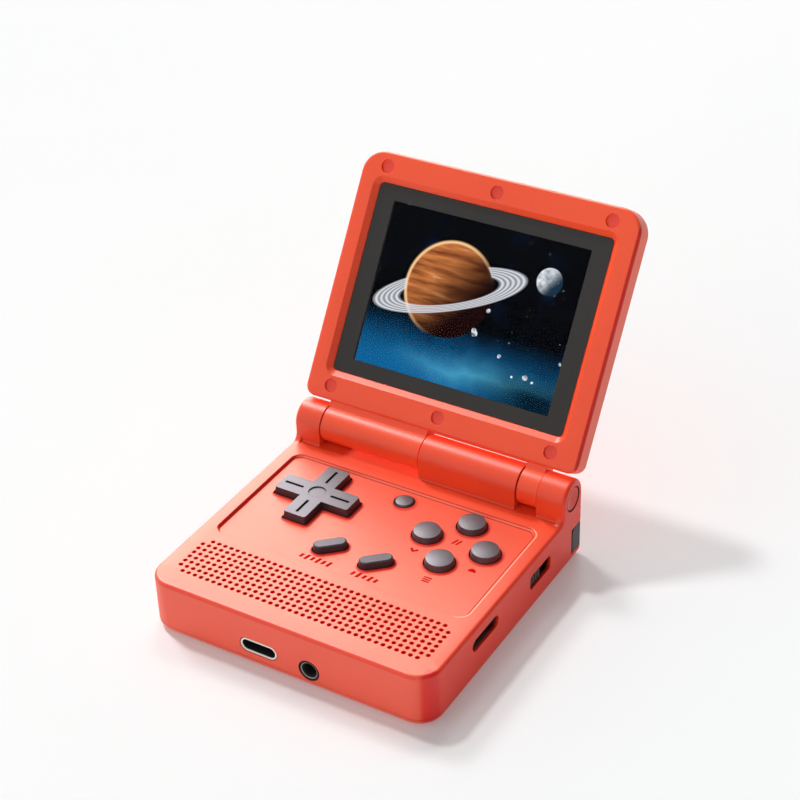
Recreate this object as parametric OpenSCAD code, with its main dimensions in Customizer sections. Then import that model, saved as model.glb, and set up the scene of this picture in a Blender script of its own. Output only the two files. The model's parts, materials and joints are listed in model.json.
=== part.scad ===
// Clamshell handheld game console, opened, standing on its feet.
// X runs to the right, Y to the back, Z up. Lengths are in millimetres.

/* [Base case] */
// Width of the base
base_w = 82.6; // [78:0.2:96]
// Depth of the base, front wall to the back of the hinge ears
base_d = 80; // [77:0.5:92]
// Height of the deck above the table
deck_z = 16; // [15.5:0.1:19]
// Thickness of the side walls
case_wall = 1.6; // [1.4:0.1:1.9]
// Thickness of the deck under the controls
deck_t = 1.4; // [1.2:0.1:1.6]
// Radius of the front corners seen from above
front_r = 6.5; // [5:0.5:9]
// Radius of the rear corners seen from above
rear_r = 1.1; // [1:0.1:2.5]
// Fillet along the deck's edges and the ears' outer rims
top_fillet = 1; // [0.6:0.1:1.2]
// Hollow where the side edge turns up into an ear
ear_hollow = 2; // [1.5:0.1:2.4]
// Fillet along the bottom edge of the base and the back edge of the lid
back_fillet = 2; // [1.2:0.1:2]
// Thickness of the bottom plate
plate_t = 1.6; // [1.4:0.1:1.8]
// Hairline between two shells
seam = 0.1; // [0.05:0.05:0.2]

/* [Deck recess and grille] */
// Width of the shallow recess round the controls
recess_w = 74.4; // [70:0.2:76]
// Front edge of the recess
recess_front = 24.2; // [23:0.2:26]
// Length of the recess, front to back
recess_l = 39.7; // [37:0.1:41]
// Depth of the recess
recess_deep = 0.7; // [0.4:0.1:0.9]
// Width of the sloped edge of the recess
recess_slope = 0.5; // [0.2:0.1:0.8]
// Corner radius of the recess
recess_r = 3; // [2:0.5:5]
// Distance between speaker holes
hole_pitch = 1.9; // [1.7:0.05:2]
// Radius of a speaker hole
hole_r = 0.6; // [0.45:0.01:0.65]
// Columns of speaker holes
hole_cols = 39; // [21:2:39]
// Rows of speaker holes
hole_rows = 8; // [4:1:8]
// Row of speaker holes nearest the front
grille_front = 6.75; // [6.5:0.05:8]

/* [Hinge] */
// Radius of the hinge ears and of the middle barrel
ear_r = 5.35; // [5:0.05:5.8]
// Height of the hinge axis above the deck
axis_rise = 4.85; // [4.6:0.05:5.4]
// Radius of the lid's barrels
barrel_r = 5.1; // [4.6:0.05:5.15]
// Inner end of the left ear
seam_1 = -33.3; // [-34:0.1:-32]
// Left end of the middle barrel
seam_2 = -2.3; // [-4:0.1:0]
// Right end of the middle barrel
seam_3 = 27.1; // [26:0.1:28]
// Inner end of the right ear
seam_4 = 33.2; // [32.5:0.1:34]
// Gap between barrels of the lid and the base
barrel_gap = 0.4; // [0.25:0.05:0.45]
// Angle between the closed and the opened lid as it stands
lid_open = 122.9; // [95:0.1:135]
// Radius of the hinge pin in the left ear
pin_r = 1.5; // [1.2:0.1:1.8]
// Running clearance of round hinge parts, radial
run_gap = 0.05; // [0.02:0.01:0.08]
// Outer radius of the click unit's sleeve
sleeve_r = 3; // [2.8:0.1:3.3]
// Length of the click unit's sleeve
sleeve_l = 14; // [12:0.5:16]
// Radius of the round caps in the ears
cap_r = 3.3; // [3:0.1:3.6]
// Open ring round a hinge cap
cap_gap = 0.15; // [0.05:0.05:0.2]

/* [Lid] */
// How far each side of the lid stands past the base
lid_over = 0.1; // [0:0.05:0.3]
// Fillet along the edge of the lid's face
face_fillet = 0.8; // [0.4:0.1:1]
// Thickness of the lid
lid_t = 7.75; // [7.4:0.05:9]
// Distance from the hinge axis to the lower edge of the lid
lid_gap = 6.1; // [5.9:0.1:6.6]
// How far the closed lid reaches past the front of the base
lid_lip = 0.9; // [0:0.1:1.5]
// Gap between the closed lid and the deck
closed_gap = 1.2; // [0.9:0.05:1.4]
// Radius of the lid's outer top corners
lid_top_r = 6.5; // [5:0.5:8]
// Radius of the lid's corners at the hinge
lid_low_r = 2.8; // [2.2:0.1:3.5]
// Wall of the lid's shells
lid_wall = 1.5; // [1.3:0.1:1.7]

/* [Screen] */
// Width of the lit picture
screen_w = 59.2; // [56:0.2:60]
// Height of the lit picture
screen_h = 44.4; // [42:0.2:45]
// Border of the window beside the picture
border_side = 5.4; // [4.6:0.1:5.6]
// Border of the window above and below the picture
border_end = 4.2; // [3.6:0.1:4.4]
// Depth of the window below the lid's face
glass_deep = 1.4; // [1:0.1:1.6]
// Thickness of the window
glass_t = 1; // [0.8:0.1:1.2]
// Width of the sloped edge round the window
glass_slope = 1.6; // [1:0.1:1.8]
// Distance from the hinge axis to the middle of the picture
screen_up = 40.85; // [40:0.05:42]
// Offset of the picture from the middle of the lid
screen_x = -0.3; // [-0.6:0.1:0.6]

/* [Controls] */
// Centre of the cross, from the middle
dpad_x = -21.5; // [-22:0.1:-20]
// Centre of the cross, from the front
dpad_y = 49.7; // [48.5:0.1:50]
// Length of the cross at its foot
dpad_l = 23.2; // [20:0.1:23.5]
// Width of the arms at their foot
dpad_arm = 7; // [6:0.1:7.4]
// How far the sides of the cross lean in
dpad_draft = 0.4; // [0:0.1:0.6]
// Radius of the corners of the D-pad's arms
dpad_corner = 0.7; // [0.6:0.1:1.4]
// Height of the cross above the recess
dpad_h = 2.05; // [1.5:0.05:2.3]
// Centre of the four round buttons, from the middle
face_x = 20.5; // [19.5:0.1:21]
// Centre of the four round buttons, from the front
face_y = 49.8; // [49:0.1:50.2]
// Distance of each round button from that centre
face_pitch = 8.5; // [8.4:0.1:9]
// Radius of a round button at its foot
face_r = 3.95; // [3.6:0.05:4.2]
// Height of a round button above the recess
face_h = 1.85; // [1.4:0.05:1.9]
// Rise of the domed top of a round button
face_dome = 0.3; // [0.2:0.05:0.5]
// Radius of the menu button
menu_r = 2.6; // [2:0.05:3]
// Centre of the menu button, from the middle
menu_x = -0.4; // [-2:0.1:2]
// Centre of the menu button, from the front
menu_y = 59.2; // [58:0.1:59.6]
// Height of the menu button above the recess
menu_h = 0.7; // [0.5:0.1:1.2]
// Length of a pill button at its foot
pill_l = 9.1; // [8:0.1:10]
// Width of a pill button at its foot
pill_w = 3.9; // [3.4:0.1:4.2]
// Turn of the pill buttons
pill_turn = 42; // [20:1:60]
// Centre of the left pill button, from the middle
select_x = -7.1; // [-8:0.1:-6.5]
// Centre of the right pill button, from the middle
start_x = 6.6; // [6.4:0.1:8.5]
// Centre of the pill buttons, from the front
pill_y = 33.3; // [31.5:0.1:34]
// Height of a pill button above the recess
pill_h = 1.8; // [1.4:0.05:2.2]
// Gap round each button in the deck
key_gap = 0.3; // [0.25:0.05:0.4]
// Travel of the push buttons
key_travel = 0.8; // [0.5:0.1:0.9]
// Largest tilt of the cross, each way
dpad_tilt = 3; // [2:0.5:3]

/* [Ports and side controls] */
// Centre of the charging port, from the middle
usb_x = -7.4; // [-12:0.1:-6.5]
// Width of the charging port's metal shell
usb_w = 10.6; // [10:0.1:11]
// Height of the charging port's metal shell
usb_h = 3.9; // [3.6:0.1:4]
// Centre of the headphone jack, from the middle
jack_x = 7.35; // [6.5:0.05:12]
// Outer radius of the headphone jack's nose
jack_r = 2.75; // [2.6:0.05:2.8]
// Radius of the headphone jack's bore
jack_bore_r = 1.8; // [1.75:0.01:1.85]
// Length of the headphone jack's bore
jack_bore_l = 12; // [10:0.5:13]
// Centre of the card slot, from the front
card_y = 27.4; // [27:0.1:29]
// Width of the card slot
card_w = 13.2; // [11:0.1:13.4]
// Height of the card slot
card_h = 3.6; // [2.6:0.1:3.6]
// Centre of the power switch's window, from the back
power_back = 23.6; // [23:0.1:24]
// Length of the power switch's window
power_l = 11.2; // [10.6:0.1:11.4]
// Height of the power switch's window
power_h = 4.3; // [3.8:0.1:4.4]
// Travel of the power switch
power_travel = 3.4; // [2:0.1:3.6]
// Radius of the volume wheel
wheel_r = 6.5; // [6:0.1:6.8]
// Thickness of the volume wheel
wheel_t = 2.2; // [1.8:0.1:2.4]
// Centre of the volume wheel, from the front
wheel_y = 30; // [28:0.5:32]
// Turn of the volume wheel each way
wheel_turn = 130; // [90:5:150]
// Length of a shoulder key along the back
key_l = 18; // [16:0.5:19]
// Height of a shoulder key
key_h = 7.4; // [6.6:0.1:7.6]
// Length of a shoulder key along the side
key_side = 5.3; // [5:0.1:6.4]

/* [Inside] */
// Height of a rubber foot under the bottom plate
foot_h = 0.4; // [0.3:0.1:0.8]
// Radius of a rubber foot
foot_r = 3; // [2.5:0.1:3.5]
// Length of the battery, side to side
battery_l = 50; // [44:0.5:51]
// Width of the battery, front to back
battery_w = 34; // [30:0.5:34]
// Thickness of the battery
battery_t = 4.9; // [4.4:0.1:4.9]
// Front edge of the battery
battery_y = 24; // [24:0.5:25]
// Thickness of the circuit boards
board_t = 1; // [0.8:0.1:1]
// Radius of a case screw's shank
screw_r = 0.95; // [0.8:0.05:1]
// Radius of a screw's head
screw_head_r = 1.75; // [1.6:0.05:1.8]
// Height of a screw's head
screw_head_h = 1.1; // [1:0.1:1.2]
// Outer radius of a screw boss
boss_r = 2.3; // [2.2:0.05:2.5]
// Thickness of a speaker
speaker_t = 3.3; // [2.8:0.1:3.3]

/* [Hidden] */
eps = 0.01;
fit = 0.2;                  // loose gap between a fixed piece and its pocket
bite = 0.06;                // how far a screw's thread cuts into its boss

// Heights and places in the base
half_w = base_w / 2;
bottom_z = foot_h;
rim_z = bottom_z + back_fillet;
floor_z = deck_z - recess_deep;
ceiling_z = floor_z - deck_t;
plate_z = bottom_z + plate_t;
axis_y = base_d - ear_r;
axis_z = deck_z + axis_rise;
board_z = 8.4;              // underside of the main board
board_top = board_z + board_t;
board_half = half_w - case_wall - 0.8;
board_back = base_d - 7.6;
cable_z = board_top + 1.5;
boss_z = 6;                 // where upper and lower bosses meet
lip_h = 1.3;
lip_t = 0.8;
screw_hole_r = screw_r + 0.15;
thread_r = screw_r - bite;
screw_sink_r = screw_head_r + fit;
side_boss_x = half_w - case_wall - boss_r + 0.1;
corner_boss_x = half_w - front_r + (front_r - case_wall - boss_r + 0.1) * cos(40);
corner_boss_y = front_r - (front_r - case_wall - boss_r + 0.1) * sin(40);
bosses = [for (side = [-1, 1]) for (p = [[corner_boss_x, corner_boss_y], [side_boss_x, 42],
    [side_boss_x, base_d - 13.6]]) [side * p[0], p[1]]];
feet = [for (side = [-1, 1]) for (y = [12, base_d - 11.5]) [side * (half_w - 10.3), y]];

// Battery bay and its cover
bay_wall = 1;
bay_y0 = battery_y - 0.4;
bay_y1 = battery_y + battery_w + 0.4;
bay_half = battery_l / 2 + 0.4;
bay_top = board_z - 0.5;
cover_t = 1.2;
cover_edge = 1.8;           // how far the cover reaches past the bay
cover_y0 = bay_y0 - 5;
cover_y1 = bay_y1 + cover_edge;
cover_half = bay_half + cover_edge;
cover_screw_y = cover_y0 + 2.6;
battery_z = bottom_z + cover_t + 0.1;
contact_half = 6;

// Speakers, click unit and shoulder switches
speaker_x0 = 6;
speaker_x1 = 33.4;
speaker_y0 = 5.4;
speaker_y1 = 20;
gasket_t = 0.6;
speaker_z = ceiling_z - gasket_t - speaker_t;
shaft_end_r = 1.4;
sleeve_x1 = seam_3 - barrel_gap / 2 - 0.2;
sleeve_x0 = sleeve_x1 - sleeve_l;
sleeve_bore = sleeve_r - 0.5;
head_x = sleeve_x1 - 3.2;
key_rib_gap = 0.35;
tact_x = half_w - 6.3;
tact_y = base_d - 7;
tact_d = 3.4;                // depth of a shoulder switch
tact_w = 5.2;
tact_z = 6.4;

// Places in the lid, measured along it from the hinge axis and out of it from the axis
lid_w = base_w + 2 * lid_over;
lid_tilt = 180 - lid_open;
face_n = axis_rise - closed_gap;
back_n = face_n - lid_t;
lid_seam_n = back_n + back_fillet;
lid_top = axis_y + lid_lip;
glass_n = face_n - glass_deep;
glass_w = screen_w + 2 * border_side;
glass_h = screen_h + 2 * border_end;
ledge_n = glass_n - glass_t;
ledge_t = 0.8;
panel_w = screen_w + 4.8;
panel_h = screen_h + 4.6;
panel_t = 2.7;
display_board_t = 0.7;
board_v = 18;               // lower edge of the display's own board
neck_n = face_n - 0.8;
lip_gap = 0.25;
lid_cap_x = lid_w / 2 - 7.9;
lid_cap_low = lid_gap + 4;
lid_cap_high = lid_top - 4;
lid_caps = [for (v = [lid_cap_low, lid_cap_high]) for (x = [-lid_cap_x, 0, lid_cap_x])
    [x + screen_x, v]];
lid_cap_r = 1.85;
lid_cap_t = 0.8;
lid_cap_sink = 0.5;
cap_floor_n = face_n - lid_cap_sink - lid_cap_t;
lid_post_n = ledge_n - ledge_t - 1.2;
display_board_n = ledge_n - panel_t - display_board_t;
cable_w = 8;
cable_t = 0.3;
cable_roll_r = 2.6;
cable_x = -23;
cable_n = lid_seam_n + 0.15;
drop_x = 0.4;
drop_y = base_d - 13.6;
barrel_bore_r = 3.2;

// The lid's rearmost point and the front wall set the origin midway, at table height
lid_reach = axis_y + (lid_top - back_fillet) * cos(lid_tilt) - (back_n + back_fillet) * sin(lid_tilt)
    + back_fillet;
origin_y = lid_reach / 2;

// Keys
stem_z = 12.3;              // top of the rubber domes
flange_t = 0.7;
flange_z = ceiling_z - 0.3 - flange_t;
dpad_dip = (dpad_l / 2 + dpad_arm / 2 + 2) * sin(dpad_tilt);
dpad_flange_z = floor(20 * (ceiling_z - dpad_dip - 0.1 - flange_t)) / 20;
rocker_ball_r = 1;
rocker_axis_z = board_top + rocker_ball_r + 0.05;
tilt_axis_z = rocker_axis_z + rocker_ball_r + 0.1 + 0.4;
face_places = [[0, 1], [-1, 0], [1, 0], [0, -1]];
power_y = base_d - power_back;
power_z = 9.45;
switch_x = half_w - case_wall - 1.95;
power_knob_l = 5.2;
power_knob_y = power_y - power_l / 2 + power_knob_l / 2 + 0.7;
card_z = board_top + 1.45;
usb_z = board_z - usb_h / 2 - 0.05;
jack_z = board_z - jack_r - 0.05;
wheel_z = board_top + 0.5;
wheel_x = -half_w + wheel_r;
key_z = 3.3;
key_pin_x = half_w - key_l + 2;
key_pin_y = base_d - 2.6;
key_pin_r = 0.8;
key_corner = 1.6;
key_press = 1.4;            // degrees a shoulder key turns when pressed

shell = [0.93, 0.33, 0.22];
button = [0.52, 0.5, 0.52];
dark = [0.2, 0.2, 0.21];
steel = [0.75, 0.75, 0.76];

// ---- shapes used again and again ----

// Rounded outline of the base, drawn in by a distance
module base_outline(inset = 0) {
    rf = front_r - inset;
    rr = max(rear_r - inset, 0.1);
    w = half_w - inset;
    y0 = inset;
    y1 = base_d - inset;
    translate([-w, y0 + rf]) square([2 * w, y1 - y0 - rf - rr]);
    translate([-w + rf, y0]) square([2 * (w - rf), rf + eps]);
    translate([-w + rr, y1 - rr - eps]) square([2 * (w - rr), rr + eps]);
    for (side = [-1, 1]) {
        translate([side * (w - rf), y0 + rf]) circle(r = rf, $fn = 64);
        translate([side * (w - rr), y1 - rr]) circle(r = rr, $fn = 48);
    }
}

// Rectangle with round corners, centred
module round_rect(w, h, r) {
    square([w - 2 * r, h], center = true);
    square([w, h - 2 * r], center = true);
    for (x = [-1, 1], y = [-1, 1])
        translate([x * (w / 2 - r), y * (h / 2 - r)]) circle(r = r, $fn = 48);
}

// Straight slot with round ends, centred
module stadium(l, w) {
    square([l - w, w], center = true);
    for (side = [-1, 1]) translate([side * (l - w) / 2, 0]) circle(d = w, $fn = 48);
}

// Upright round post with a rounded foot and head
module post(r, z0, z1, foot_f, head_f, fn = 40) {
    steps = 4;
    rotate_extrude($fn = fn)
        polygon(concat([[0, z0]],
            foot_f > 0 ? [for (i = [0:steps]) [r - foot_f + foot_f * sin(90 * i / steps),
                z0 + foot_f - foot_f * cos(90 * i / steps)]] : [[r, z0]],
            head_f > 0 ? [for (i = [0:steps]) [r - head_f + head_f * cos(90 * i / steps),
                z1 - head_f + head_f * sin(90 * i / steps)]] : [[r, z1]],
            [[0, z1]]));
}

// Heights and insets of the steps that round an edge at the foot
function foot_arc(z0, f) =
    f > 0 ? [for (a = [0:22.5:90]) [z0 + f - f * cos(a), f - f * sin(a)]] : [[z0, 0]];

// Solid block with the base's outline and rounded edges
module base_block(z0, z1, foot_f, head_f) {
    hull() for (side = [-1, 1]) {
        translate([side * (half_w - front_r), front_r, 0]) post(front_r, z0, z1, foot_f, head_f);
        translate([side * (half_w - rear_r), base_d - rear_r, 0])
            post(rear_r, z0 + foot_f, z1, 0, head_f, 24);
        // a foot fillet wider than the rear corner narrows in steps
        for (s = foot_arc(z0, foot_f)) {
            r = max(rear_r - s[1], 0.3);
            translate([side * (half_w - s[1] - r), base_d - s[1] - r, s[0]])
                cylinder(r = r, h = z1 - head_f - s[0], $fn = 24);
        }
    }
}

// Solid block with the lid's outline; along the lid is +Y, out of its face is +Z
module lid_block(n0, n1, back_f, face_f) {
    hull() for (side = [-1, 1]) {
        translate([side * (lid_w / 2 - lid_top_r), lid_top - lid_top_r, 0])
            post(lid_top_r, n0, n1, back_f, face_f);
        translate([side * (lid_w / 2 - lid_low_r), lid_gap + lid_low_r, 0])
            post(lid_low_r, n0, n1, back_f, face_f, 24);
    }
}

// Rounded outline of the lid, drawn in by a distance
module lid_outline(inset) {
    rt = lid_top_r - inset;
    rl = lid_low_r - inset;
    w = lid_w / 2 - inset;
    y0 = lid_gap + inset;
    y1 = lid_top - inset;
    translate([-w, y0 + rl]) square([2 * w, y1 - y0 - rt - rl]);
    translate([-w + rl, y0]) square([2 * (w - rl), rl + eps]);
    translate([-w + rt, y1 - rt - eps]) square([2 * (w - rt), rt + eps]);
    for (side = [-1, 1]) {
        translate([side * (w - rl), y0 + rl]) circle(r = rl, $fn = 48);
        translate([side * (w - rt), y1 - rt]) circle(r = rt, $fn = 64);
    }
}

// Round bar or hole along X
module bar_x(x0, x1, r, fn = 64) {
    translate([x0, 0, 0]) rotate([0, 90, 0]) cylinder(r = r, h = x1 - x0, $fn = fn);
}

// Puts a piece of the base in the model's frame
module in_base() {
    translate([0, -origin_y, 0]) children();
}

// Puts a piece drawn round the hinge axis in the model's frame
module at_axis() {
    in_base() translate([0, axis_y, axis_z]) children();
}

// Puts a piece of the opened lid in the model's frame
module in_lid() {
    at_axis() rotate([lid_tilt, 0, 0]) children();
}

// Self-tapping screw standing on its head, head down
module screw(length) {
    difference() {
        union() {
            cylinder(r = screw_head_r, h = screw_head_h, $fn = 32);
            cylinder(r = screw_r, h = length, $fn = 24);
        }
        for (turn = [0, 90]) rotate(turn) cube([0.5, 2.2, 1.2], center = true);
    }
}

// ---- base shells ----

// Ear or middle barrel with its skirt, from x0 to x1, one end or both rounded
module hinge_skirt(x0, x1) {
    translate([0, axis_y, axis_z]) bar_x(x0, x1, ear_r, 96);
    translate([x0, axis_y - ear_r, ceiling_z]) cube([x1 - x0, 2 * ear_r, axis_z - ceiling_z]);
}

// Quarter-round fillet between the deck and the front of a skirt
module skirt_fillet(x0, x1, r) {
    translate([x0, axis_y - ear_r - r, deck_z]) difference() {
        translate([0, 0, -r]) cube([x1 - x0, r + eps, 2 * r]);
        translate([0, 0, r]) bar_x(-1, x1 - x0 + 1, r, 48);
    }
}

// Outer ear: round top, straight skirt, rounded at its outer end
module ear(side, inner_x) {
    width = half_w - abs(inner_x);
    module slice() {
        rotate([0, 90, 0]) post(ear_r, 0, width, 0, top_fillet, 56);
    }
    mirror([side < 0 ? 1 : 0, 0, 0]) {
        translate([abs(inner_x), axis_y, 0]) hull() {
            translate([0, 0, axis_z]) slice();
            translate([0, 0, axis_z - 9]) slice();
        }
        // the side edge sweeps up into the ear's rim
        translate([half_w - top_fillet - 1, axis_y - ear_r - ear_hollow, 0]) difference() {
            translate([0, 0, deck_z - top_fillet])
                cube([top_fillet + 1, ear_hollow + top_fillet, top_fillet + ear_hollow]);
            translate([0, 0, deck_z + ear_hollow]) rotate([0, 90, 0]) rotate_extrude($fn = 64)
                polygon(concat([[0, -1], [ear_hollow, -1]],
                    [for (a = [0:15:90]) [ear_hollow + top_fillet - top_fillet * cos(a),
                        1 + top_fillet * sin(a)]],
                    [[ear_hollow + top_fillet, 3 + top_fillet], [0, 3 + top_fillet]]));
        }
    }
}

module key_opening(side) {
    mirror([side < 0 ? 1 : 0, 0, 0])
        translate([half_w - key_l - 0.25, base_d - key_side - 0.55, key_z - 0.25])
            cube([key_l + 1, key_side + 2, key_h + 0.5]);
}

module grille_holes() {
    for (row = [0:hole_rows - 1]) {
        ends = (row == 0 || row == hole_rows - 1) ? 1 : 0;
        for (col = [ends:hole_cols - 1 - ends])
            translate([(col - (hole_cols - 1) / 2) * hole_pitch, grille_front + row * hole_pitch,
                ceiling_z - 1])
                cylinder(r = hole_r, h = deck_z - ceiling_z + 2, $fn = 16);
    }
}

module dpad_outline(length, arm) {
    round_rect(length, arm, dpad_corner);
    round_rect(arm, length, dpad_corner);
}

module control_holes() {
    h = deck_z - ceiling_z + 2;
    translate([0, 0, ceiling_z - 1]) {
        translate([dpad_x, dpad_y, 0]) linear_extrude(h)
            dpad_outline(dpad_l + 2 * key_gap, dpad_arm + 2 * key_gap);
        for (p = face_places) translate([face_x + p[0] * face_pitch, face_y + p[1] * face_pitch, 0])
            cylinder(r = face_r + key_gap, h = h, $fn = 48);
        translate([menu_x, menu_y, 0]) cylinder(r = menu_r + key_gap, h = h, $fn = 48);
        for (x = [select_x, start_x]) translate([x, pill_y, 0]) rotate(pill_turn)
            linear_extrude(h) stadium(pill_l + 2 * key_gap, pill_w + 2 * key_gap);
    }
}

module deck_recess() {
    centre_y = recess_front + recess_l / 2;
    inner_w = recess_w - 2 * recess_slope;
    inner_l = recess_l - 2 * recess_slope;
    translate([0, centre_y, 0]) hull() {
        translate([0, 0, floor_z]) linear_extrude(eps)
            round_rect(inner_w, inner_l, recess_r - recess_slope, $fn = 32);
        translate([0, 0, deck_z]) linear_extrude(0.5) round_rect(recess_w, recess_l, recess_r);
    }
}

module side_openings() {
    translate([usb_x, -1, usb_z]) rotate([-90, 0, 0]) linear_extrude(case_wall + 2)
        stadium(usb_w + 0.5, usb_h + 0.5);
    translate([jack_x, -1, jack_z]) rotate([-90, 0, 0])
        cylinder(r = jack_r + 0.1, h = case_wall + 2, $fn = 48);
    translate([half_w - case_wall - 1, card_y, card_z]) rotate([90, 0, 90])
        linear_extrude(case_wall + 2) stadium(card_w, card_h);
    translate([half_w - case_wall - 1, power_y, power_z]) rotate([90, 0, 90])
        linear_extrude(case_wall + 2) round_rect(power_l, power_h, 1.2);
    // window of the volume wheel, with a shallow thumb pocket round it
    translate([-half_w - 1, wheel_y, wheel_z + wheel_t / 2]) rotate([90, 0, 90]) {
        linear_extrude(case_wall + 2) round_rect(1.6 * wheel_r, wheel_t + 0.5, 0.6);
        linear_extrude(1.6) round_rect(1.6 * wheel_r + 3.6, wheel_t + 2.4, 1.6);
    }
}

module top_case() {
    color(shell) in_base() difference() {
        union() {
            difference() {
                base_block(rim_z + seam, deck_z, 0, top_fillet);
                translate([0, 0, rim_z]) linear_extrude(ceiling_z - rim_z) base_outline(case_wall);
            }
            ear(-1, seam_1);
            ear(1, seam_4);
            hinge_skirt(seam_2 + barrel_gap / 2, seam_3 - barrel_gap / 2);
            skirt_fillet(seam_2 + barrel_gap / 2, seam_3 - barrel_gap / 2, 0.5);
            skirt_fillet(-half_w + top_fillet, seam_1, 0.5);
            skirt_fillet(seam_4, half_w - top_fillet, 0.5);
            for (b = bosses) translate([b[0], b[1], boss_z])
                cylinder(r = boss_r, h = ceiling_z - boss_z + eps, $fn = 40);
            for (side = [-1, 1]) translate([side * key_pin_x - 2, key_pin_y - 2, key_z + key_h + 0.3])
                cube([4, base_d - case_wall - key_pin_y + 2 + eps, ceiling_z - key_z - key_h - 0.3 + eps]);
        }
        // the lower ends of the ears stop at the ceiling, inside
        translate([0, 0, rim_z]) linear_extrude(ceiling_z - rim_z) difference() {
            base_outline(case_wall);
            for (b = bosses) translate([b[0], b[1]]) circle(r = boss_r, $fn = 40);
            for (side = [-1, 1]) translate([side * key_pin_x, key_pin_y]) square([4, 4.2], center = true);
        }
        // clearance for the lid's barrels in the deck
        translate([0, axis_y, axis_z]) {
            bar_x(seam_1 - eps, seam_2 + barrel_gap / 2 - eps, ear_r, 96);
            bar_x(seam_3 - barrel_gap / 2 + eps, seam_4, ear_r, 96);
            // left ear: pin bore and cap seat
            bar_x(-half_w + 1.2, seam_1 + 1, pin_r + 0.02);
            bar_x(-half_w - 1, -half_w + 1.2, cap_r + cap_gap);
            // right ear: shaft bore and cap seat
            bar_x(seam_4 - 1, half_w - 3.2, shaft_end_r + run_gap);
            bar_x(half_w - 1.2, half_w + 1, cap_r + cap_gap);
            // middle barrel: cable way on the left, click unit on the right
            bar_x(seam_2, seam_3 - sleeve_l - 1, barrel_bore_r);
            bar_x(seam_3 - sleeve_l - 0.5, seam_3 + 1, sleeve_r + 0.02);
        }
        translate([drop_x - 0.5, axis_y - 1, ceiling_z - 1]) cube([cable_w + 1, 2, axis_z - ceiling_z]);
        for (side = [-1, 1]) {
            key_opening(side);
            translate([side * key_pin_x, key_pin_y, key_z + key_h])
                cylinder(r = key_pin_r + 0.02, h = 1.8, $fn = 24);
        }
        for (b = bosses) translate([b[0], b[1], boss_z - 1])
            cylinder(r = thread_r, h = 5.5, $fn = 24);
        deck_recess();
        grille_holes();
        control_holes();
        side_openings();
    }
}

module bottom_case() {
    color(shell) in_base() difference() {
        union() {
            difference() {
                base_block(bottom_z, rim_z, back_fillet, 0);
                translate([0, 0, plate_z]) linear_extrude(back_fillet) base_outline(case_wall + 0.4);
            }
            // lip inside the upper shell
            translate([0, 0, plate_z]) linear_extrude(rim_z + lip_h - plate_z) difference() {
                base_outline(case_wall + 0.15);
                base_outline(case_wall + 0.15 + lip_t);
            }
            intersection() {
                for (b = bosses) translate([b[0], b[1], bottom_z + eps])
                    cylinder(r = boss_r, h = boss_z - bottom_z - eps, $fn = 40);
                translate([0, 0, bottom_z]) linear_extrude(boss_z) base_outline(case_wall + 0.15);
            }
            translate([-bay_half - bay_wall, bay_y0 - bay_wall, plate_z - eps])
                cube([2 * (bay_half + bay_wall), bay_y1 - bay_y0 + 2 * bay_wall, bay_top - plate_z]);
            translate([0, cover_screw_y, plate_z - eps]) cylinder(r = boss_r, h = 4, $fn = 40);
            for (side = [-1, 1]) translate([side * key_pin_x - 2, key_pin_y - 2, plate_z - eps])
                cube([4, 3.6, key_z - 0.3 - plate_z]);
        }
        // battery bay, open below; its cover sits in a shallow step
        translate([-bay_half, bay_y0, bottom_z - 1])
            cube([2 * bay_half, bay_y1 - bay_y0, battery_z + battery_t + 0.3 - bottom_z + 1]);
        translate([-cover_half - 0.1, cover_y0 - 0.1, bottom_z - 1])
            cube([2 * cover_half + 0.2, cover_y1 - cover_y0 + 0.2, cover_t + 1.05]);
        for (side = [-1, 1]) translate([side * 15 - 3.1, cover_y1, bottom_z + 0.35])
            cube([6.2, 1.4, cover_t - 0.3]);
        translate([-contact_half - 0.3, bay_y1 - 1, 3.6]) cube([2 * contact_half + 0.6, 3, 5]);
        for (b = bosses) translate([b[0], b[1], 0]) {
            cylinder(r = screw_sink_r, h = bottom_z + screw_head_h + 0.4, $fn = 40);
            cylinder(r = screw_hole_r, h = boss_z + 1, $fn = 24);
        }
        translate([0, cover_screw_y, 0]) cylinder(r = thread_r, h = 5.5, $fn = 24);
        for (f = feet) translate([f[0], f[1], -1]) cylinder(r = foot_r + 0.1, h = bottom_z + 1.5, $fn = 40);
        for (side = [-1, 1]) translate([side * key_pin_x, key_pin_y, plate_z - 0.4])
            cylinder(r = key_pin_r + 0.02, h = 3, $fn = 24);
        // the lip gives way to the shoulder keys, the jack and the charging port
        for (side = [-1, 1]) translate([0, 0, 0.4]) key_opening(side);
        for (side = [-1, 1]) mirror([side < 0 ? 1 : 0, 0, 0])
            translate([half_w - key_l - 0.4, base_d - key_side - 0.7, rim_z + 0.05])
                cube([key_l, key_side, 4]);
        translate([jack_x, -1, jack_z]) rotate([-90, 0, 0]) cylinder(r = jack_r + 0.1, h = 5, $fn = 48);
    }
}

module battery_cover() {
    color(shell) in_base() difference() {
        union() {
            translate([-cover_half, cover_y0, bottom_z])
                cube([2 * cover_half, cover_y1 - cover_y0, cover_t]);
            for (side = [-1, 1]) translate([side * 15 - 3, cover_y1 - eps, bottom_z + 0.45])
                cube([6, 1.2, cover_t - 0.5]);
        }
        translate([0, cover_screw_y, 0]) {
            cylinder(r = screw_hole_r, h = 4, $fn = 24);
            cylinder(r = screw_head_r + 0.1, h = bottom_z + 0.75, $fn = 40);
        }
    }
}

module battery() {
    color([0.25, 0.3, 0.5]) in_base()
        translate([-battery_l / 2, battery_y, battery_z]) cube([battery_l, battery_w, battery_t]);
}

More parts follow.
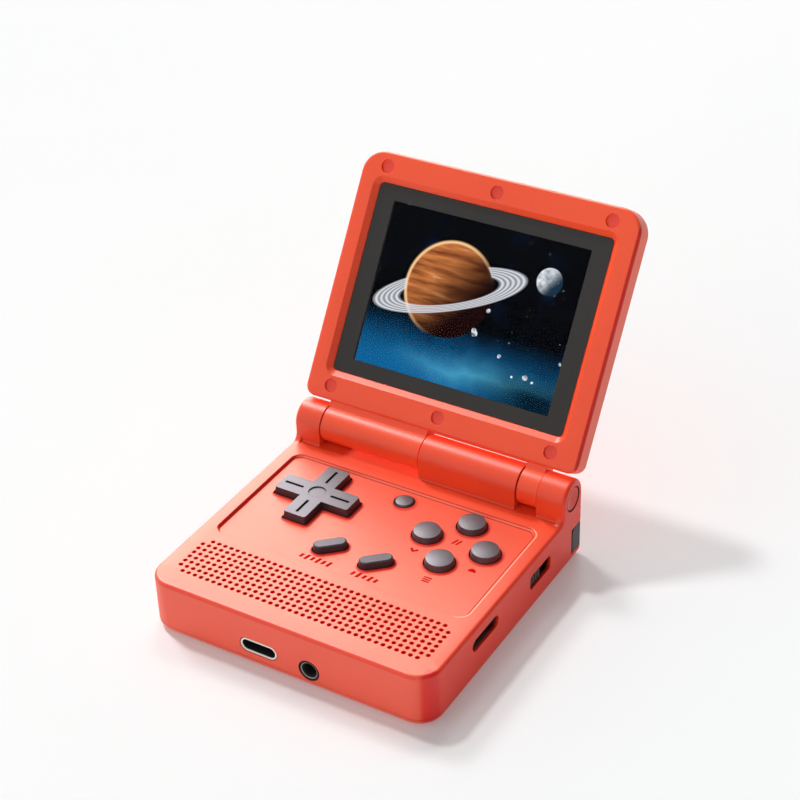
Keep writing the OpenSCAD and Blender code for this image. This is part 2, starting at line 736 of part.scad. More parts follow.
module battery_contacts() {
    color(dark) in_base() {
        translate([-contact_half, bay_y1 + 0.2, 4.4])
            cube([2 * contact_half, 2.6, board_z - 4.4]);
        for (x = [-3.5, 0, 3.5]) translate([x - 0.5, battery_y + battery_w, 5])
            cube([1, 0.6 + eps, 0.8]);
    }
}

module main_board() {
    color([0.1, 0.35, 0.2]) in_base() difference() {
        union() {
            translate([0, 0, board_z]) linear_extrude(board_t) intersection() {
                base_outline(case_wall + 0.5);
                translate([-board_half, 2.6]) square([2 * board_half, board_back - 2.6]);
            }
            // processor, memory and the socket of the display cable
            translate([-6, 40, board_top - eps]) cube([12, 12, 1.2]);
            translate([-6, 21.5, board_top - eps]) cube([12, 7, 1]);
            translate([drop_x - 0.6, drop_y - 0.4, board_top - eps])
                cube([cable_w + 1.2, 2.8, cable_z - board_top + eps]);
        }
        for (b = bosses) translate([b[0], b[1], board_z - 1]) cylinder(r = boss_r + 0.4, h = 4, $fn = 40);
        // room for the power slider's plate
        translate([switch_x, power_y - 11, board_z - 1]) cube([10, 22, 4]);
    }
}

// ---- sound ----
module speaker(side) {
    l = speaker_x1 - speaker_x0;
    w = speaker_y1 - speaker_y0;
    in_base() translate([side * (speaker_x0 + speaker_x1) / 2, (speaker_y0 + speaker_y1) / 2, speaker_z])
        difference() {
            linear_extrude(speaker_t) round_rect(l, w, 2);
            translate([0, 0, speaker_t - 1]) linear_extrude(2) round_rect(l - 3, w - 3, 3);
        }
}

module speaker_left() {
    color(dark) speaker(-1);
}

module speaker_right() {
    color(dark) speaker(1);
}

module speaker_gaskets() {
    color([0.15, 0.15, 0.15]) for (side = [-1, 1]) {
        l = speaker_x1 - speaker_x0;
        w = speaker_y1 - speaker_y0;
        in_base() translate([side * (speaker_x0 + speaker_x1) / 2, (speaker_y0 + speaker_y1) / 2,
            ceiling_z - gasket_t]) linear_extrude(gasket_t) difference() {
                round_rect(l, w, 2);
                round_rect(l - 2.4, w - 2.4, 3);
            }
    }
}

// ---- ports and side controls ----
module usb_port() {
    color(steel) in_base() translate([usb_x, 0, usb_z]) rotate([-90, 0, 0]) {
        difference() {
            translate([0, 0, 0.1]) linear_extrude(8) stadium(usb_w, usb_h);
            linear_extrude(7) stadium(usb_w - 0.8, usb_h - 0.8);
        }
        // contact tongue
        translate([-3.4, -0.35, 2]) cube([6.8, 0.7, 5.2]);
        // feet that solder to the board
        for (side = [-1, 1]) translate([side * 3.6 - 0.6, -usb_h / 2 - 0.05, 4]) cube([1.2, 1, 2.4]);
    }
}

module headphone_jack() {
    color(dark) in_base() translate([jack_x, 0, jack_z]) difference() {
        union() {
            translate([0, 0.1, 0]) rotate([-90, 0, 0]) cylinder(r = jack_r, h = 3, $fn = 48);
            translate([-3, 2.6, -jack_r + 0.15]) cube([6, jack_bore_l - 1.2, board_z - jack_z + jack_r - 0.15]);
        }
        translate([0, -1, 0]) rotate([-90, 0, 0]) cylinder(r = jack_bore_r, h = jack_bore_l + 1.1, $fn = 48);
        translate([0, -0.4, 0]) rotate([-90, 0, 0])
            cylinder(r1 = jack_bore_r + 1, r2 = jack_bore_r, h = 1, $fn = 48);
    }
}

module card_reader() {
    depth = 14;
    color(steel) in_base() difference() {
        translate([half_w - case_wall - 0.2 - depth, card_y - card_w / 2, board_top])
            cube([depth, card_w, card_h - 0.7]);
        translate([half_w - case_wall - depth + 0.8, card_y - 5.6, card_z - 0.45])
            cube([depth, 11.2, 0.9]);
    }
}

module power_switch() {
    color(dark) in_base() difference() {
        translate([switch_x - 4, power_y - 6.2, board_top]) cube([3.9, 12.4, 2.4]);
        translate([switch_x - 2.6, power_knob_y - 1.3, board_top + 0.3])
            cube([5, power_travel + 2.6, 1]);
    }
}

module power_slider() {
    color(dark) in_base() translate([0, power_knob_y, 0]) {
        // plate behind the window, knob in it, and the stem that moves the switch
        translate([switch_x + 0.2, -3.6, power_z - power_h / 2 - 0.3]) cube([0.9, 7.2, power_h + 0.6]);
        difference() {
            translate([switch_x + 0.8, -power_knob_l / 2, power_z - 1.45])
                cube([half_w - switch_x - 1.3, power_knob_l, 2.5]);
            for (y = [-1.4, 0, 1.4]) translate([half_w - 0.75, y - 0.25, power_z - 2]) cube([1, 0.5, 4]);
        }
        translate([switch_x - 2, -0.9, board_top + 0.45]) cube([2.5, 1.8, 0.7]);
    }
}

module volume_pot() {
    color(dark) in_base() translate([wheel_x, wheel_y, board_top]) {
        cylinder(r = 4, h = 0.35, $fn = 40);
        cylinder(r = 1.2, h = wheel_z - board_top + wheel_t - 0.2, $fn = 32);
    }
}

module volume_wheel() {
    color(dark) in_base() translate([wheel_x, wheel_y, wheel_z]) difference() {
        cylinder(r = wheel_r, h = wheel_t, $fn = 72);
        translate([0, 0, -1]) cylinder(r = 1.2 + run_gap, h = wheel_t + 2, $fn = 32);
        for (a = [0:10:359]) rotate(a) translate([wheel_r, 0, -1])
            cylinder(r = 0.28, h = wheel_t + 2, $fn = 4);
    }
}

// ---- cross and buttons ----
module dpad() {
    top_l = dpad_l - 2 * dpad_draft;
    top_arm = dpad_arm - 2 * dpad_draft * 0.5;
    top_z = floor_z + dpad_h;
    color(button) in_base() translate([dpad_x, dpad_y, 0]) difference() {
        union() {
            translate([0, 0, dpad_flange_z]) linear_extrude(flange_t)
                dpad_outline(dpad_l + 2, dpad_arm + 2);
            translate([0, 0, dpad_flange_z]) linear_extrude(floor_z - dpad_flange_z)
                dpad_outline(dpad_l, dpad_arm);
            for (turn = [0, 90]) rotate(turn) hull() {
                translate([0, 0, floor_z - eps]) linear_extrude(eps) round_rect(dpad_l, dpad_arm, dpad_corner);
                translate([0, 0, top_z - eps]) linear_extrude(eps) round_rect(top_l, top_arm, dpad_corner);
            }
        }
        // dish and grooves in the top
        translate([0, 0, top_z - 0.3]) cylinder(r = 2.35, h = 1, $fn = 48);
        for (turn = [0:90:270]) rotate(turn) translate([4.3, -0.4, top_z - 0.5]) cube([5.6, 0.8, 1]);
        // seat of the rocker's ridge
        translate([-4.5, -2.6, dpad_flange_z - eps]) cube([9, 5.2, tilt_axis_z + 1.1 - dpad_flange_z]);
    }
}

module dpad_rocker() {
    color(dark) in_base() translate([dpad_x, dpad_y, 0]) {
        disc_z = rocker_axis_z + rocker_ball_r + 0.1;
        translate([0, 0, disc_z]) cylinder(r = 2.3, h = 0.5, $fn = 40);
        translate([0, 0, tilt_axis_z]) difference() {
            bar_x(-2.2, 2.2, 1, 32);
            translate([-3, -2, -2.4]) cube([6, 4, 2]);
        }
    }
}

module dpad_post() {
    color(dark) in_base() translate([dpad_x, dpad_y, board_top]) {
        cylinder(r = 1.6, h = 0.3, $fn = 32);
        cylinder(r = 1, h = rocker_axis_z - board_top, $fn = 32);
        translate([0, 0, rocker_axis_z - board_top]) sphere(r = rocker_ball_r, $fn = 32);
    }
}

// Rubber sheet with hollow domes
module mat_dome(r, top) {
    difference() {
        cylinder(r1 = r, r2 = r * 0.7, h = top - board_top, $fn = 32);
        translate([0, 0, -eps]) cylinder(r1 = r - 0.5, r2 = r * 0.7 - 0.5, h = top - board_top - 0.8, $fn = 32);
    }
}

module dpad_mat() {
    color([0.85, 0.85, 0.85]) in_base() translate([dpad_x, dpad_y, board_top]) {
        linear_extrude(0.4) difference() {
            round_rect(21, 21, 2);
            circle(r = 2, $fn = 32);
            for (a = [0:90:270]) rotate(a) translate([7.4, 0]) circle(r = 1.5, $fn = 32);
        }
        for (a = [0:90:270]) rotate(a) translate([7.4, 0, 0]) mat_dome(2, dpad_flange_z);
    }
}

// Round key with a domed top
module round_key(x, y, foot_r0, top_r0, height, dome) {
    dome_r = (top_r0 * top_r0 + dome * dome) / (2 * dome);
    in_base() translate([x, y, 0]) {
        translate([0, 0, stem_z]) cylinder(r = 1.6, h = flange_z - stem_z + eps, $fn = 32);
        translate([0, 0, flange_z]) cylinder(r = foot_r0 + 0.9, h = flange_t, $fn = 48);
        translate([0, 0, flange_z]) cylinder(r = foot_r0, h = floor_z - flange_z + eps, $fn = 48);
        intersection() {
            translate([0, 0, floor_z])
                cylinder(r1 = foot_r0, r2 = top_r0 - (foot_r0 - top_r0) * dome / (height - dome),
                    h = height, $fn = 64);
            translate([0, 0, floor_z + height - dome_r]) sphere(r = dome_r, $fn = 128);
        }
    }
}

module face_key(i) {
    color(button) round_key(face_x + face_places[i][0] * face_pitch, face_y + face_places[i][1] * face_pitch,
        face_r, face_r - 0.4, face_h, face_dome);
}

module face_button_top() {
    face_key(0);
}

module face_button_left() {
    face_key(1);
}

module face_button_right() {
    face_key(2);
}

module face_button_bottom() {
    face_key(3);
}

module face_mat() {
    color([0.85, 0.85, 0.85]) in_base() translate([face_x, face_y, board_top]) {
        linear_extrude(0.4) difference() {
            rotate(45) round_rect(19, 19, 2);
            for (p = face_places) translate([p[0] * face_pitch, p[1] * face_pitch]) circle(r = 1.8, $fn = 32);
        }
        for (p = face_places) translate([p[0] * face_pitch, p[1] * face_pitch, 0]) mat_dome(2.3, stem_z);
    }
}

module menu_button() {
    color(button) round_key(menu_x, menu_y, menu_r, menu_r - 0.3, menu_h, 0.2);
}

module pill_key(x) {
    color(button) in_base() translate([x, pill_y, 0]) rotate(pill_turn) {
        translate([0, 0, stem_z]) cylinder(r = 1.2, h = flange_z - stem_z + eps, $fn = 32);
        translate([0, 0, flange_z]) linear_extrude(flange_t) stadium(pill_l + 1.6, pill_w + 1.6);
        translate([0, 0, flange_z]) linear_extrude(floor_z - flange_z) stadium(pill_l, pill_w);
        hull() for (side = [-1, 1]) translate([side * (pill_l - pill_w) / 2, 0, floor_z - eps]) {
            cylinder(r1 = pill_w / 2, r2 = pill_w / 2 - 0.2, h = pill_h - 0.3, $fn = 32);
            cylinder(r = pill_w / 2 - 0.55, h = pill_h, $fn = 32);
        }
    }
}

module select_button() {
    pill_key(select_x);
}

module start_button() {
    pill_key(start_x);
}

module small_key_mat() {
    keys = [[select_x, pill_y], [start_x, pill_y]];
    color([0.85, 0.85, 0.85]) in_base() {
        translate([(select_x + start_x) / 2, pill_y, board_top]) linear_extrude(0.4) difference() {
            round_rect(21, 6.4, 2);
            for (side = [-1, 1]) translate([side * (start_x - select_x) / 2, 0]) circle(r = 1.4, $fn = 32);
        }
        translate([menu_x, menu_y, board_top]) linear_extrude(0.4) difference() {
            round_rect(6.4, 6.4, 2);
            circle(r = 1.4, $fn = 32);
        }
        for (p = concat(keys, [[menu_x, menu_y]])) translate([p[0], p[1], board_top]) mat_dome(1.9, stem_z);
    }
}

// ---- shoulder keys ----
module shoulder_key(side) {
    x0 = half_w - key_l;
    color(dark) in_base() mirror([side < 0 ? 1 : 0, 0, 0]) difference() {
        union() {
            intersection() {
                difference() {
                    base_block(key_z - 5, key_z + key_h + 5, 0, 0);
                    translate([0, 0, key_z - 6]) linear_extrude(key_h + 12) base_outline(case_wall);
                }
                translate([x0, base_d - key_side, key_z]) cube([key_l + 1, key_side + 1, key_h]);
            }
            // eye round the pivot pin, and the rib that presses the switch
            translate([key_pin_x, key_pin_y, key_z]) cylinder(r = 1.7, h = key_h, $fn = 32);
            translate([key_pin_x - 1.2, key_pin_y, key_z]) cube([3, base_d - case_wall - key_pin_y + eps, key_h]);
            translate([tact_x - 1, tact_y + 0.5 + key_rib_gap, tact_z - 1])
                cube([2, base_d - case_wall - tact_y - 0.5 - key_rib_gap + eps, 2]);
        }
        translate([key_pin_x, key_pin_y, key_z - 1])
            cylinder(r = key_pin_r + run_gap, h = key_h + 2, $fn = 24);
        // rounded corner at the front of the side
        translate([half_w - 4, base_d - key_side - eps, key_z + key_h + eps]) difference() {
            translate([0, -1, -key_corner]) cube([6, 1 + key_corner, key_corner + 1]);
            translate([-1, key_corner, -key_corner]) rotate([0, 90, 0])
                cylinder(r = key_corner, h = 8, $fn = 32);
        }
    }
}

module shoulder_left() {
    shoulder_key(-1);
}

module shoulder_right() {
    shoulder_key(1);
}

module shoulder_pins() {
    color(steel) in_base() for (side = [-1, 1])
        translate([side * key_pin_x, key_pin_y, plate_z - 0.4])
            cylinder(r = key_pin_r, h = key_z + key_h + 1.7 - plate_z + 0.4, $fn = 24);
}

module shoulder_switches() {
    color(dark) in_base() for (side = [-1, 1]) translate([side * tact_x, 0, 0]) {
        translate([-tact_w / 2, tact_y - tact_d, board_z - 3.6]) cube([tact_w, tact_d, 3.6]);
        translate([-0.8, tact_y - eps, tact_z - 0.8]) cube([1.6, 0.5, 1.6]);
    }
}

// ---- fasteners and feet ----
module case_screws() {
    color(steel) in_base() for (b = bosses)
        translate([b[0], b[1], bottom_z + 0.4]) screw(boss_z + 3.6);
}

module cover_screw() {
    color(steel) in_base() translate([0, cover_screw_y, bottom_z + 0.75 - screw_head_h]) screw(5);
}

module rubber_feet() {
    color([0.12, 0.12, 0.12]) in_base() for (f = feet) translate([f[0], f[1], 0])
        cylinder(r = foot_r, h = bottom_z + 0.5, $fn = 40);
}

// ---- hinge ----
module hinge_cap(side) {
    color(shell) at_axis() mirror([side < 0 ? 1 : 0, 0, 0]) difference() {
        bar_x(half_w - 1.2, half_w - 0.2, cap_r, 64);
        translate([half_w - 0.2, 0, 0]) rotate([0, -90, 0]) translate([0, 0, -eps])
            cylinder(r1 = cap_r - 0.3, r2 = 0.4, h = 0.6, $fn = 48);
    }
}

module hinge_cap_left() {
    hinge_cap(-1);
}

module hinge_cap_right() {
    hinge_cap(1);
}

module hinge_pin() {
    color(steel) at_axis() bar_x(-half_w + 1.3, seam_1 + 3.4, pin_r, 48);
}

module hinge_sleeve() {
    color(steel) at_axis() difference() {
        bar_x(sleeve_x0, sleeve_x1, sleeve_r, 64);
        bar_x(sleeve_x0 + 0.6, sleeve_x1 + 1, sleeve_bore, 48);
    }
}

module hinge_spring() {
    turns = 5;
    x0 = sleeve_x0 + 0.6;
    x1 = head_x - 3.2;
    pitch = (x1 - x0 - 0.7) / turns;
    steps = 14;
    wire = 0.35;
    coil_r = sleeve_bore - 0.55;
    points = [for (i = [0:turns * steps]) let (a = 360 * i / steps)
        [x0 + wire + pitch * i / steps, coil_r * cos(a), coil_r * sin(a)]];
    color(steel) at_axis() coil(points, wire, 6);
}

// Tube with flat ends swept along points that wind round the X axis
module coil(points, r, sides) {
    n = len(points);
    ring = [for (i = [0:n - 1]) let (p = points[i], a = atan2(p[2], p[1]))
        for (k = [0:sides - 1]) let (b = 360 * k / sides)
            [p[0] + r * sin(b), p[1] + r * cos(b) * cos(a), p[2] + r * cos(b) * sin(a)]];
    side_faces = [for (i = [0:n - 2]) for (k = [0:sides - 1]) let (j = (k + 1) % sides)
        [i * sides + k, (i + 1) * sides + k, (i + 1) * sides + j, i * sides + j]];
    caps = [[for (k = [0:sides - 1]) k], [for (k = [0:sides - 1]) n * sides - 1 - k]];
    polyhedron(ring, concat(side_faces, caps));
}

module hinge_cam() {
    color(steel) at_axis() {
        bar_x(head_x - 3, head_x - 0.1, sleeve_bore - run_gap, 48);
        bar_x(head_x - 5.5, head_x - 3 + eps, 1.4, 32);
    }
}

module hinge_shaft() {
    side = 3;
    color(steel) at_axis() {
        bar_x(head_x, sleeve_x1 - 0.4, sleeve_bore - run_gap, 48);
        bar_x(sleeve_x1 - 0.4 - eps, seam_3 + barrel_gap, 1.5, 32);
        rotate([lid_tilt, 0, 0]) translate([seam_3 + barrel_gap / 2, -side / 2, -side / 2])
            cube([seam_4 - seam_3 - barrel_gap, side, side]);
        bar_x(seam_4 - barrel_gap / 2 - eps, half_w - 3.4, shaft_end_r, 48);
    }
}

// ---- display cable ----
module display_cable_base() {
    x0 = seam_2 + barrel_gap / 2 + 0.1;
    color([0.75, 0.5, 0.2]) at_axis() {
        difference() {
            bar_x(x0, drop_x + cable_w, cable_roll_r, 48);
            bar_x(x0 - 1, drop_x + cable_w + 1, cable_roll_r - cable_t, 48);
        }
        translate([drop_x, -cable_t / 2, cable_z - axis_z])
            cube([cable_w, cable_t, axis_z - cable_z - cable_roll_r + cable_t]);
        translate([drop_x, drop_y - axis_y, cable_z - axis_z])
            cube([cable_w, axis_y - drop_y + cable_t / 2, cable_t]);
    }
}

module display_cable_lid() {
    x1 = seam_2 - barrel_gap / 2 - 0.1;
    color([0.75, 0.5, 0.2]) in_lid() {
        difference() {
            bar_x(cable_x, x1, cable_roll_r, 48);
            bar_x(cable_x - 1, x1 + 1, cable_roll_r - cable_t, 48);
        }
        translate([cable_x, cable_roll_r / 2, cable_n]) cube([cable_w, board_v - cable_roll_r / 2, cable_t]);
    }
}

// ---- lid ----
module window_cut() {
    translate([screen_x, screen_up, 0]) {
        hull() {
            translate([0, 0, glass_n]) linear_extrude(eps) round_rect(glass_w + 0.2, glass_h + 0.2, 1.4);
            translate([0, 0, face_n]) linear_extrude(0.5)
                round_rect(glass_w + 2 * glass_slope, glass_h + 2 * glass_slope, 3);
        }
        translate([0, 0, ledge_n]) linear_extrude(glass_deep) round_rect(glass_w + 0.2, glass_h + 0.2, 1.4);
        translate([0, 0, -10]) linear_extrude(20) round_rect(panel_w + 0.4, panel_h + 0.4, 0.8);
    }
}

module lid_barrel(x0, x1) {
    bar_x(x0, x1, barrel_r, 96);
    translate([x0, 0, lid_seam_n + seam]) cube([x1 - x0, lid_gap + 1, neck_n - lid_seam_n - seam]);
}

module lid_front() {
    long_x0 = seam_1 + barrel_gap / 2;
    long_x1 = seam_2 - barrel_gap / 2;
    short_x0 = seam_3 + barrel_gap / 2;
    short_x1 = seam_4 - barrel_gap / 2;
    color(shell) in_lid() difference() {
        union() {
            difference() {
                lid_block(lid_seam_n + seam, face_n, 0, face_fillet);
                translate([0, 0, lid_seam_n]) linear_extrude(face_n - lid_wall - lid_seam_n)
                    lid_outline(lid_wall);
            }
            // frame round the display behind the window
            translate([screen_x, screen_up, ledge_n - ledge_t])
                linear_extrude(face_n - lid_wall - ledge_n + ledge_t + eps)
                    round_rect(glass_w + 2, glass_h + 2, 2);
            for (c = lid_caps) translate([c[0], c[1], ledge_n - ledge_t - 1.2])
                cylinder(r = lid_cap_r + 0.6, h = face_n - lid_wall - ledge_n + ledge_t + 1.3, $fn = 40);
            lid_barrel(long_x0, long_x1);
            lid_barrel(short_x0, short_x1);
            // lip that closes the view over the middle barrel
            translate([long_x1 - eps, ear_r + lip_gap, -1]) cube([short_x0 - long_x1 + 2 * eps, lid_gap - ear_r, 2]);
        }
        window_cut();
        for (c = lid_caps) translate([c[0], c[1], 0]) {
            translate([0, 0, cap_floor_n]) cylinder(r = lid_cap_r + 0.05, h = 5, $fn = 40);
            translate([0, 0, cap_floor_n - screw_head_h - 0.1]) cylinder(r = screw_head_r + 0.1, h = 3, $fn = 40);
            translate([0, 0, -5]) cylinder(r = screw_hole_r, h = 9, $fn = 24);
        }
        // pin hole, hollow barrel, square hole for the click unit's shaft
        bar_x(long_x0 - 1, long_x0 + 4, pin_r + run_gap, 48);
        bar_x(long_x0 + 3.2, long_x1 + 1, barrel_bore_r, 64);
        translate([short_x0 - 1, -1.52, -1.52]) cube([short_x1 - short_x0 + 2, 3.04, 3.04]);
        // way of the display cable up into the lid
        translate([cable_x - 0.3, 0, cable_n - 0.3]) cube([cable_w + 0.6, lid_gap + 3, cable_t + 0.6]);
    }
}

module lid_back() {
    color(shell) in_lid() difference() {
        union() {
            difference() {
                lid_block(back_n, lid_seam_n, back_fillet, 0);
                translate([0, 0, back_n + lid_wall]) linear_extrude(5) lid_outline(lid_wall + 0.5);
            }
            for (c = lid_caps) translate([c[0], c[1], back_n + 0.5])
                cylinder(r = boss_r, h = lid_post_n - back_n - 0.5, $fn = 40);
        }
        for (c = lid_caps) translate([c[0], c[1], back_n + 0.7]) cylinder(r = thread_r, h = 9, $fn = 24);
    }
}

module screen_glass() {
    color([0.3, 0.32, 0.35, 0.5]) in_lid() translate([screen_x, screen_up, ledge_n])
        linear_extrude(glass_t) round_rect(glass_w, glass_h, 1.3);
}

module display_panel() {
    color([0.08, 0.2, 0.4]) in_lid() translate([screen_x, screen_up, ledge_n - panel_t])
        linear_extrude(panel_t) round_rect(panel_w, panel_h, 0.6);
}

module display_board() {
    color([0.1, 0.35, 0.2]) in_lid()
        translate([screen_x + 6 - panel_w / 2, board_v, display_board_n])
        cube([panel_w - 20, 26, display_board_t]);
}

module lid_screws() {
    color(steel) in_lid() for (c = lid_caps) translate([c[0], c[1], cap_floor_n]) mirror([0, 0, 1])
        screw(cap_floor_n - back_n - 1);
}

module screw_caps() {
    color(shell) in_lid() for (c = lid_caps) translate([c[0], c[1], cap_floor_n])
        cylinder(r = lid_cap_r, h = lid_cap_t, $fn = 40);
}

top_case();
bottom_case();
battery_cover();
battery();
battery_contacts();
main_board();
speaker_left();
speaker_right();
speaker_gaskets();
usb_port();
headphone_jack();
card_reader();
power_switch();
power_slider();
volume_pot();
volume_wheel();
dpad();
dpad_rocker();
dpad_post();
dpad_mat();
face_button_top();
face_button_left();
face_button_right();
face_button_bottom();
face_mat();
menu_button();
select_button();
start_button();
small_key_mat();
shoulder_left();
shoulder_right();
shoulder_pins();
shoulder_switches();
case_screws();
cover_screw();
rubber_feet();
hinge_cap_left();
hinge_cap_right();
hinge_pin();
hinge_sleeve();
hinge_spring();
hinge_cam();
hinge_shaft();
display_cable_base();
display_cable_lid();
lid_front();
lid_back();
screen_glass();
display_panel();
display_board();
lid_screws();
screw_caps();
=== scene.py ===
import json
import math

import bpy
import bmesh
import numpy as np
from mathutils import Matrix, Vector


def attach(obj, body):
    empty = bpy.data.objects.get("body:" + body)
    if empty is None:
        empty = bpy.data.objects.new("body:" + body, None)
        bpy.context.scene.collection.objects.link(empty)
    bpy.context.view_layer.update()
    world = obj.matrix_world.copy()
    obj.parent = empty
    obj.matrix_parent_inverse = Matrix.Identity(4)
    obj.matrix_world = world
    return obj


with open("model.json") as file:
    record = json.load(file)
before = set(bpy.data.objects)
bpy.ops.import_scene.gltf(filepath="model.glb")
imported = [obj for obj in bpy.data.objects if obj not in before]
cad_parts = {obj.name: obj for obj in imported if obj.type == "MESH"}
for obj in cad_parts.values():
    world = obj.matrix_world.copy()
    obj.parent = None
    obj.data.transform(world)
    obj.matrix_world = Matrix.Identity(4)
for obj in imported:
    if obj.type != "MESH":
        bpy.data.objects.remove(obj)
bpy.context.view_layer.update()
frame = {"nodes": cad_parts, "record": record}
nodes = frame["nodes"]

# ---- sizes shared with part.scad, in metres ----
ORIGIN_Y = 0.05918184      # the base's own y = 0 stands this far in front of the model's origin
AXIS_Y = 0.07465 - ORIGIN_Y
AXIS_Z = 0.02085
TILT = math.radians(57.1)
UP = Vector((0, math.cos(TILT), math.sin(TILT)))        # up along the lid
OUT = Vector((0, -math.sin(TILT), math.cos(TILT)))      # out of the lid's face
SCREEN_X, SCREEN_V = -0.0003, 0.04085                   # centre of the picture on the lid
SCREEN_W, SCREEN_H = 0.0592, 0.0444
WINDOW_W, WINDOW_H = 0.0699, 0.0527                     # outer size of the window's printed frame
FLOOR_Z = 0.0153           # floor of the deck's recess

# ---- places on the base, in its own millimetres ----
JACK = (7.35, 0, 5.6)
DPAD = (-21.5, 49.7)
FACE_D = 7.9
FACES = ((20.5, 58.3), (12.0, 49.8), (29.0, 49.8), (20.5, 41.3))
RECESS = (0, 44.05, 74.4, 39.7, 3.0)       # centre, sizes and corner of the deck's recess
KEY_FIELD = (0, 47, 68, 38, 2)             # the part of it that holds all the keys
KEYS = (
    # centre, sizes, corner and turn of each key on the deck
    *((x, y, FACE_D, FACE_D, FACE_D / 2, 0) for x, y in FACES),
    (-0.4, 59.2, 5.2, 5.2, 2.6, 0),
    (*DPAD, 23.2, 7.0, 0.7, 0), (*DPAD, 7.0, 23.2, 0.7, 0),
    (-7.1, 33.3, 9.1, 3.9, 1.95, 42), (6.6, 33.3, 9.1, 3.9, 1.95, 42),
)
MARKS = ((20.3, 50.6), (12.2, 42.5), (29.3, 42.4), (21.0, 33.8))    # printed tokens by the round keys


def base(x, y, z):
    """A point of the base, from millimetres measured from the front wall."""
    return Vector((x / 1000, y / 1000 - ORIGIN_Y, z / 1000))


def lid(x, v, n):
    """A point of the lid, from metres along it and out of it."""
    return Vector((x, AXIS_Y, AXIS_Z)) + UP * v + OUT * n


# ---- node helpers ----
class Tree:
    """Short calls for a material's node tree."""

    def __init__(self, name):
        self.mat = bpy.data.materials.new(name)
        self.mat.use_nodes = True
        self.nt = self.mat.node_tree
        self.nt.nodes.clear()
        self.out = self.nt.nodes.new("ShaderNodeOutputMaterial")
        self.coord = None
        self.axes = None

    def node(self, kind, **props):
        n = self.nt.nodes.new(kind)
        for k, v in props.items():
            setattr(n, k, v)
        return n

    def put(self, socket, value):
        if isinstance(value, bpy.types.NodeSocket):
            self.nt.links.new(value, socket)
        elif value is not None:
            socket.default_value = value

    def math(self, op, a, b=None, c=None, clamp=False):
        n = self.node("ShaderNodeMath", operation=op, use_clamp=clamp)
        for s, v in zip(n.inputs, (a, b, c)):
            self.put(s, v)
        return n.outputs[0]

    def add(self, a, b):
        return self.math("ADD", a, b)

    def sub(self, a, b):
        return self.math("SUBTRACT", a, b)

    def mul(self, a, b):
        return self.math("MULTIPLY", a, b)

    def step(self, x, lo, hi):
        """0 below lo, 1 above hi, smooth between."""
        n = self.node("ShaderNodeMapRange", interpolation_type="SMOOTHSTEP")
        self.put(n.inputs["Value"], x)
        n.inputs["From Min"].default_value = lo
        n.inputs["From Max"].default_value = hi
        return n.outputs["Result"]

    def line(self, x, a, b, c, d):
        n = self.node("ShaderNodeMapRange")
        self.put(n.inputs["Value"], x)
        for s, v in zip(("From Min", "From Max", "To Min", "To Max"), (a, b, c, d)):
            n.inputs[s].default_value = v
        return n.outputs["Result"]

    def mix(self, f, a, b, blend="MIX"):
        n = self.node("ShaderNodeMix", data_type="RGBA", blend_type=blend)
        self.put(n.inputs[0], f)
        for s, v in zip((n.inputs[6], n.inputs[7]), (a, b)):
            self.put(s, (*v, 1) if isinstance(v, tuple) and len(v) == 3 else v)
        return n.outputs[2]

    def at(self):
        if self.coord is None:
            self.coord = self.node("ShaderNodeTexCoord").outputs["Object"]
        return self.coord

    def xyz(self):
        if self.axes is None:
            n = self.node("ShaderNodeSeparateXYZ")
            self.put(n.inputs[0], self.at())
            self.axes = n.outputs
        return self.axes

    def band(self, s, lo=None, hi=None, soft=0.00004):
        """1 between lo and hi, either of which may be left open."""
        mask = None
        for at, sign in ((lo, 1), (hi, -1)):
            if at is not None:
                m = self.step(s, at - sign * soft, at + sign * soft)
                mask = m if mask is None else self.mul(mask, m)
        return mask

    def reach(self, a, b):
        """Length of a vector from its two parts."""
        return self.math("SQRT", self.add(self.mul(a, a), self.mul(b, b)))

    def off(self, point):
        """How far the surface lies from a point of the base, along each axis."""
        return [self.sub(s, v) for s, v in zip(self.xyz(), base(*point))]

    def turned(self, dx, dy, angle):
        k, j = math.cos(angle), math.sin(angle)
        return self.add(self.mul(dx, k), self.mul(dy, j)), self.sub(self.mul(dy, k), self.mul(dx, j))

    def away(self, x, y, w, h, r, turn=0.0):
        """Distance from the outline of a round-cornered plate on the base, less than 0 inside it.
        Its centre and sizes are in the base's millimetres."""
        dx, dy, _ = self.off((x, y, 0))
        if turn:
            dx, dy = self.turned(dx, dy, turn)
        qx = self.sub(self.math("ABSOLUTE", dx), (w / 2 - r) / 1000)
        qy = self.sub(self.math("ABSOLUTE", dy), (h / 2 - r) / 1000)
        ox, oy = self.math("MAXIMUM", qx, 0.0), self.math("MAXIMUM", qy, 0.0)
        far = self.reach(ox, oy)
        near = self.math("MINIMUM", self.math("MAXIMUM", qx, qy), 0.0)
        return self.sub(self.add(far, near), r / 1000)

    def noise(self, scale, detail=2.0, rough=0.5, at=None, distort=0.0):
        n = self.node("ShaderNodeTexNoise")
        self.put(n.inputs["Vector"], at or self.at())
        n.inputs["Scale"].default_value = scale
        n.inputs["Detail"].default_value = detail
        n.inputs["Roughness"].default_value = rough
        n.inputs["Distortion"].default_value = distort
        return n.outputs["Fac"]

    def shader(self, **values):
        n = self.node("ShaderNodeBsdfPrincipled")
        for k, v in values.items():
            self.put(n.inputs[k.replace("_", " ")], v)
        self.nt.links.new(n.outputs[0], self.out.inputs[0])
        return n


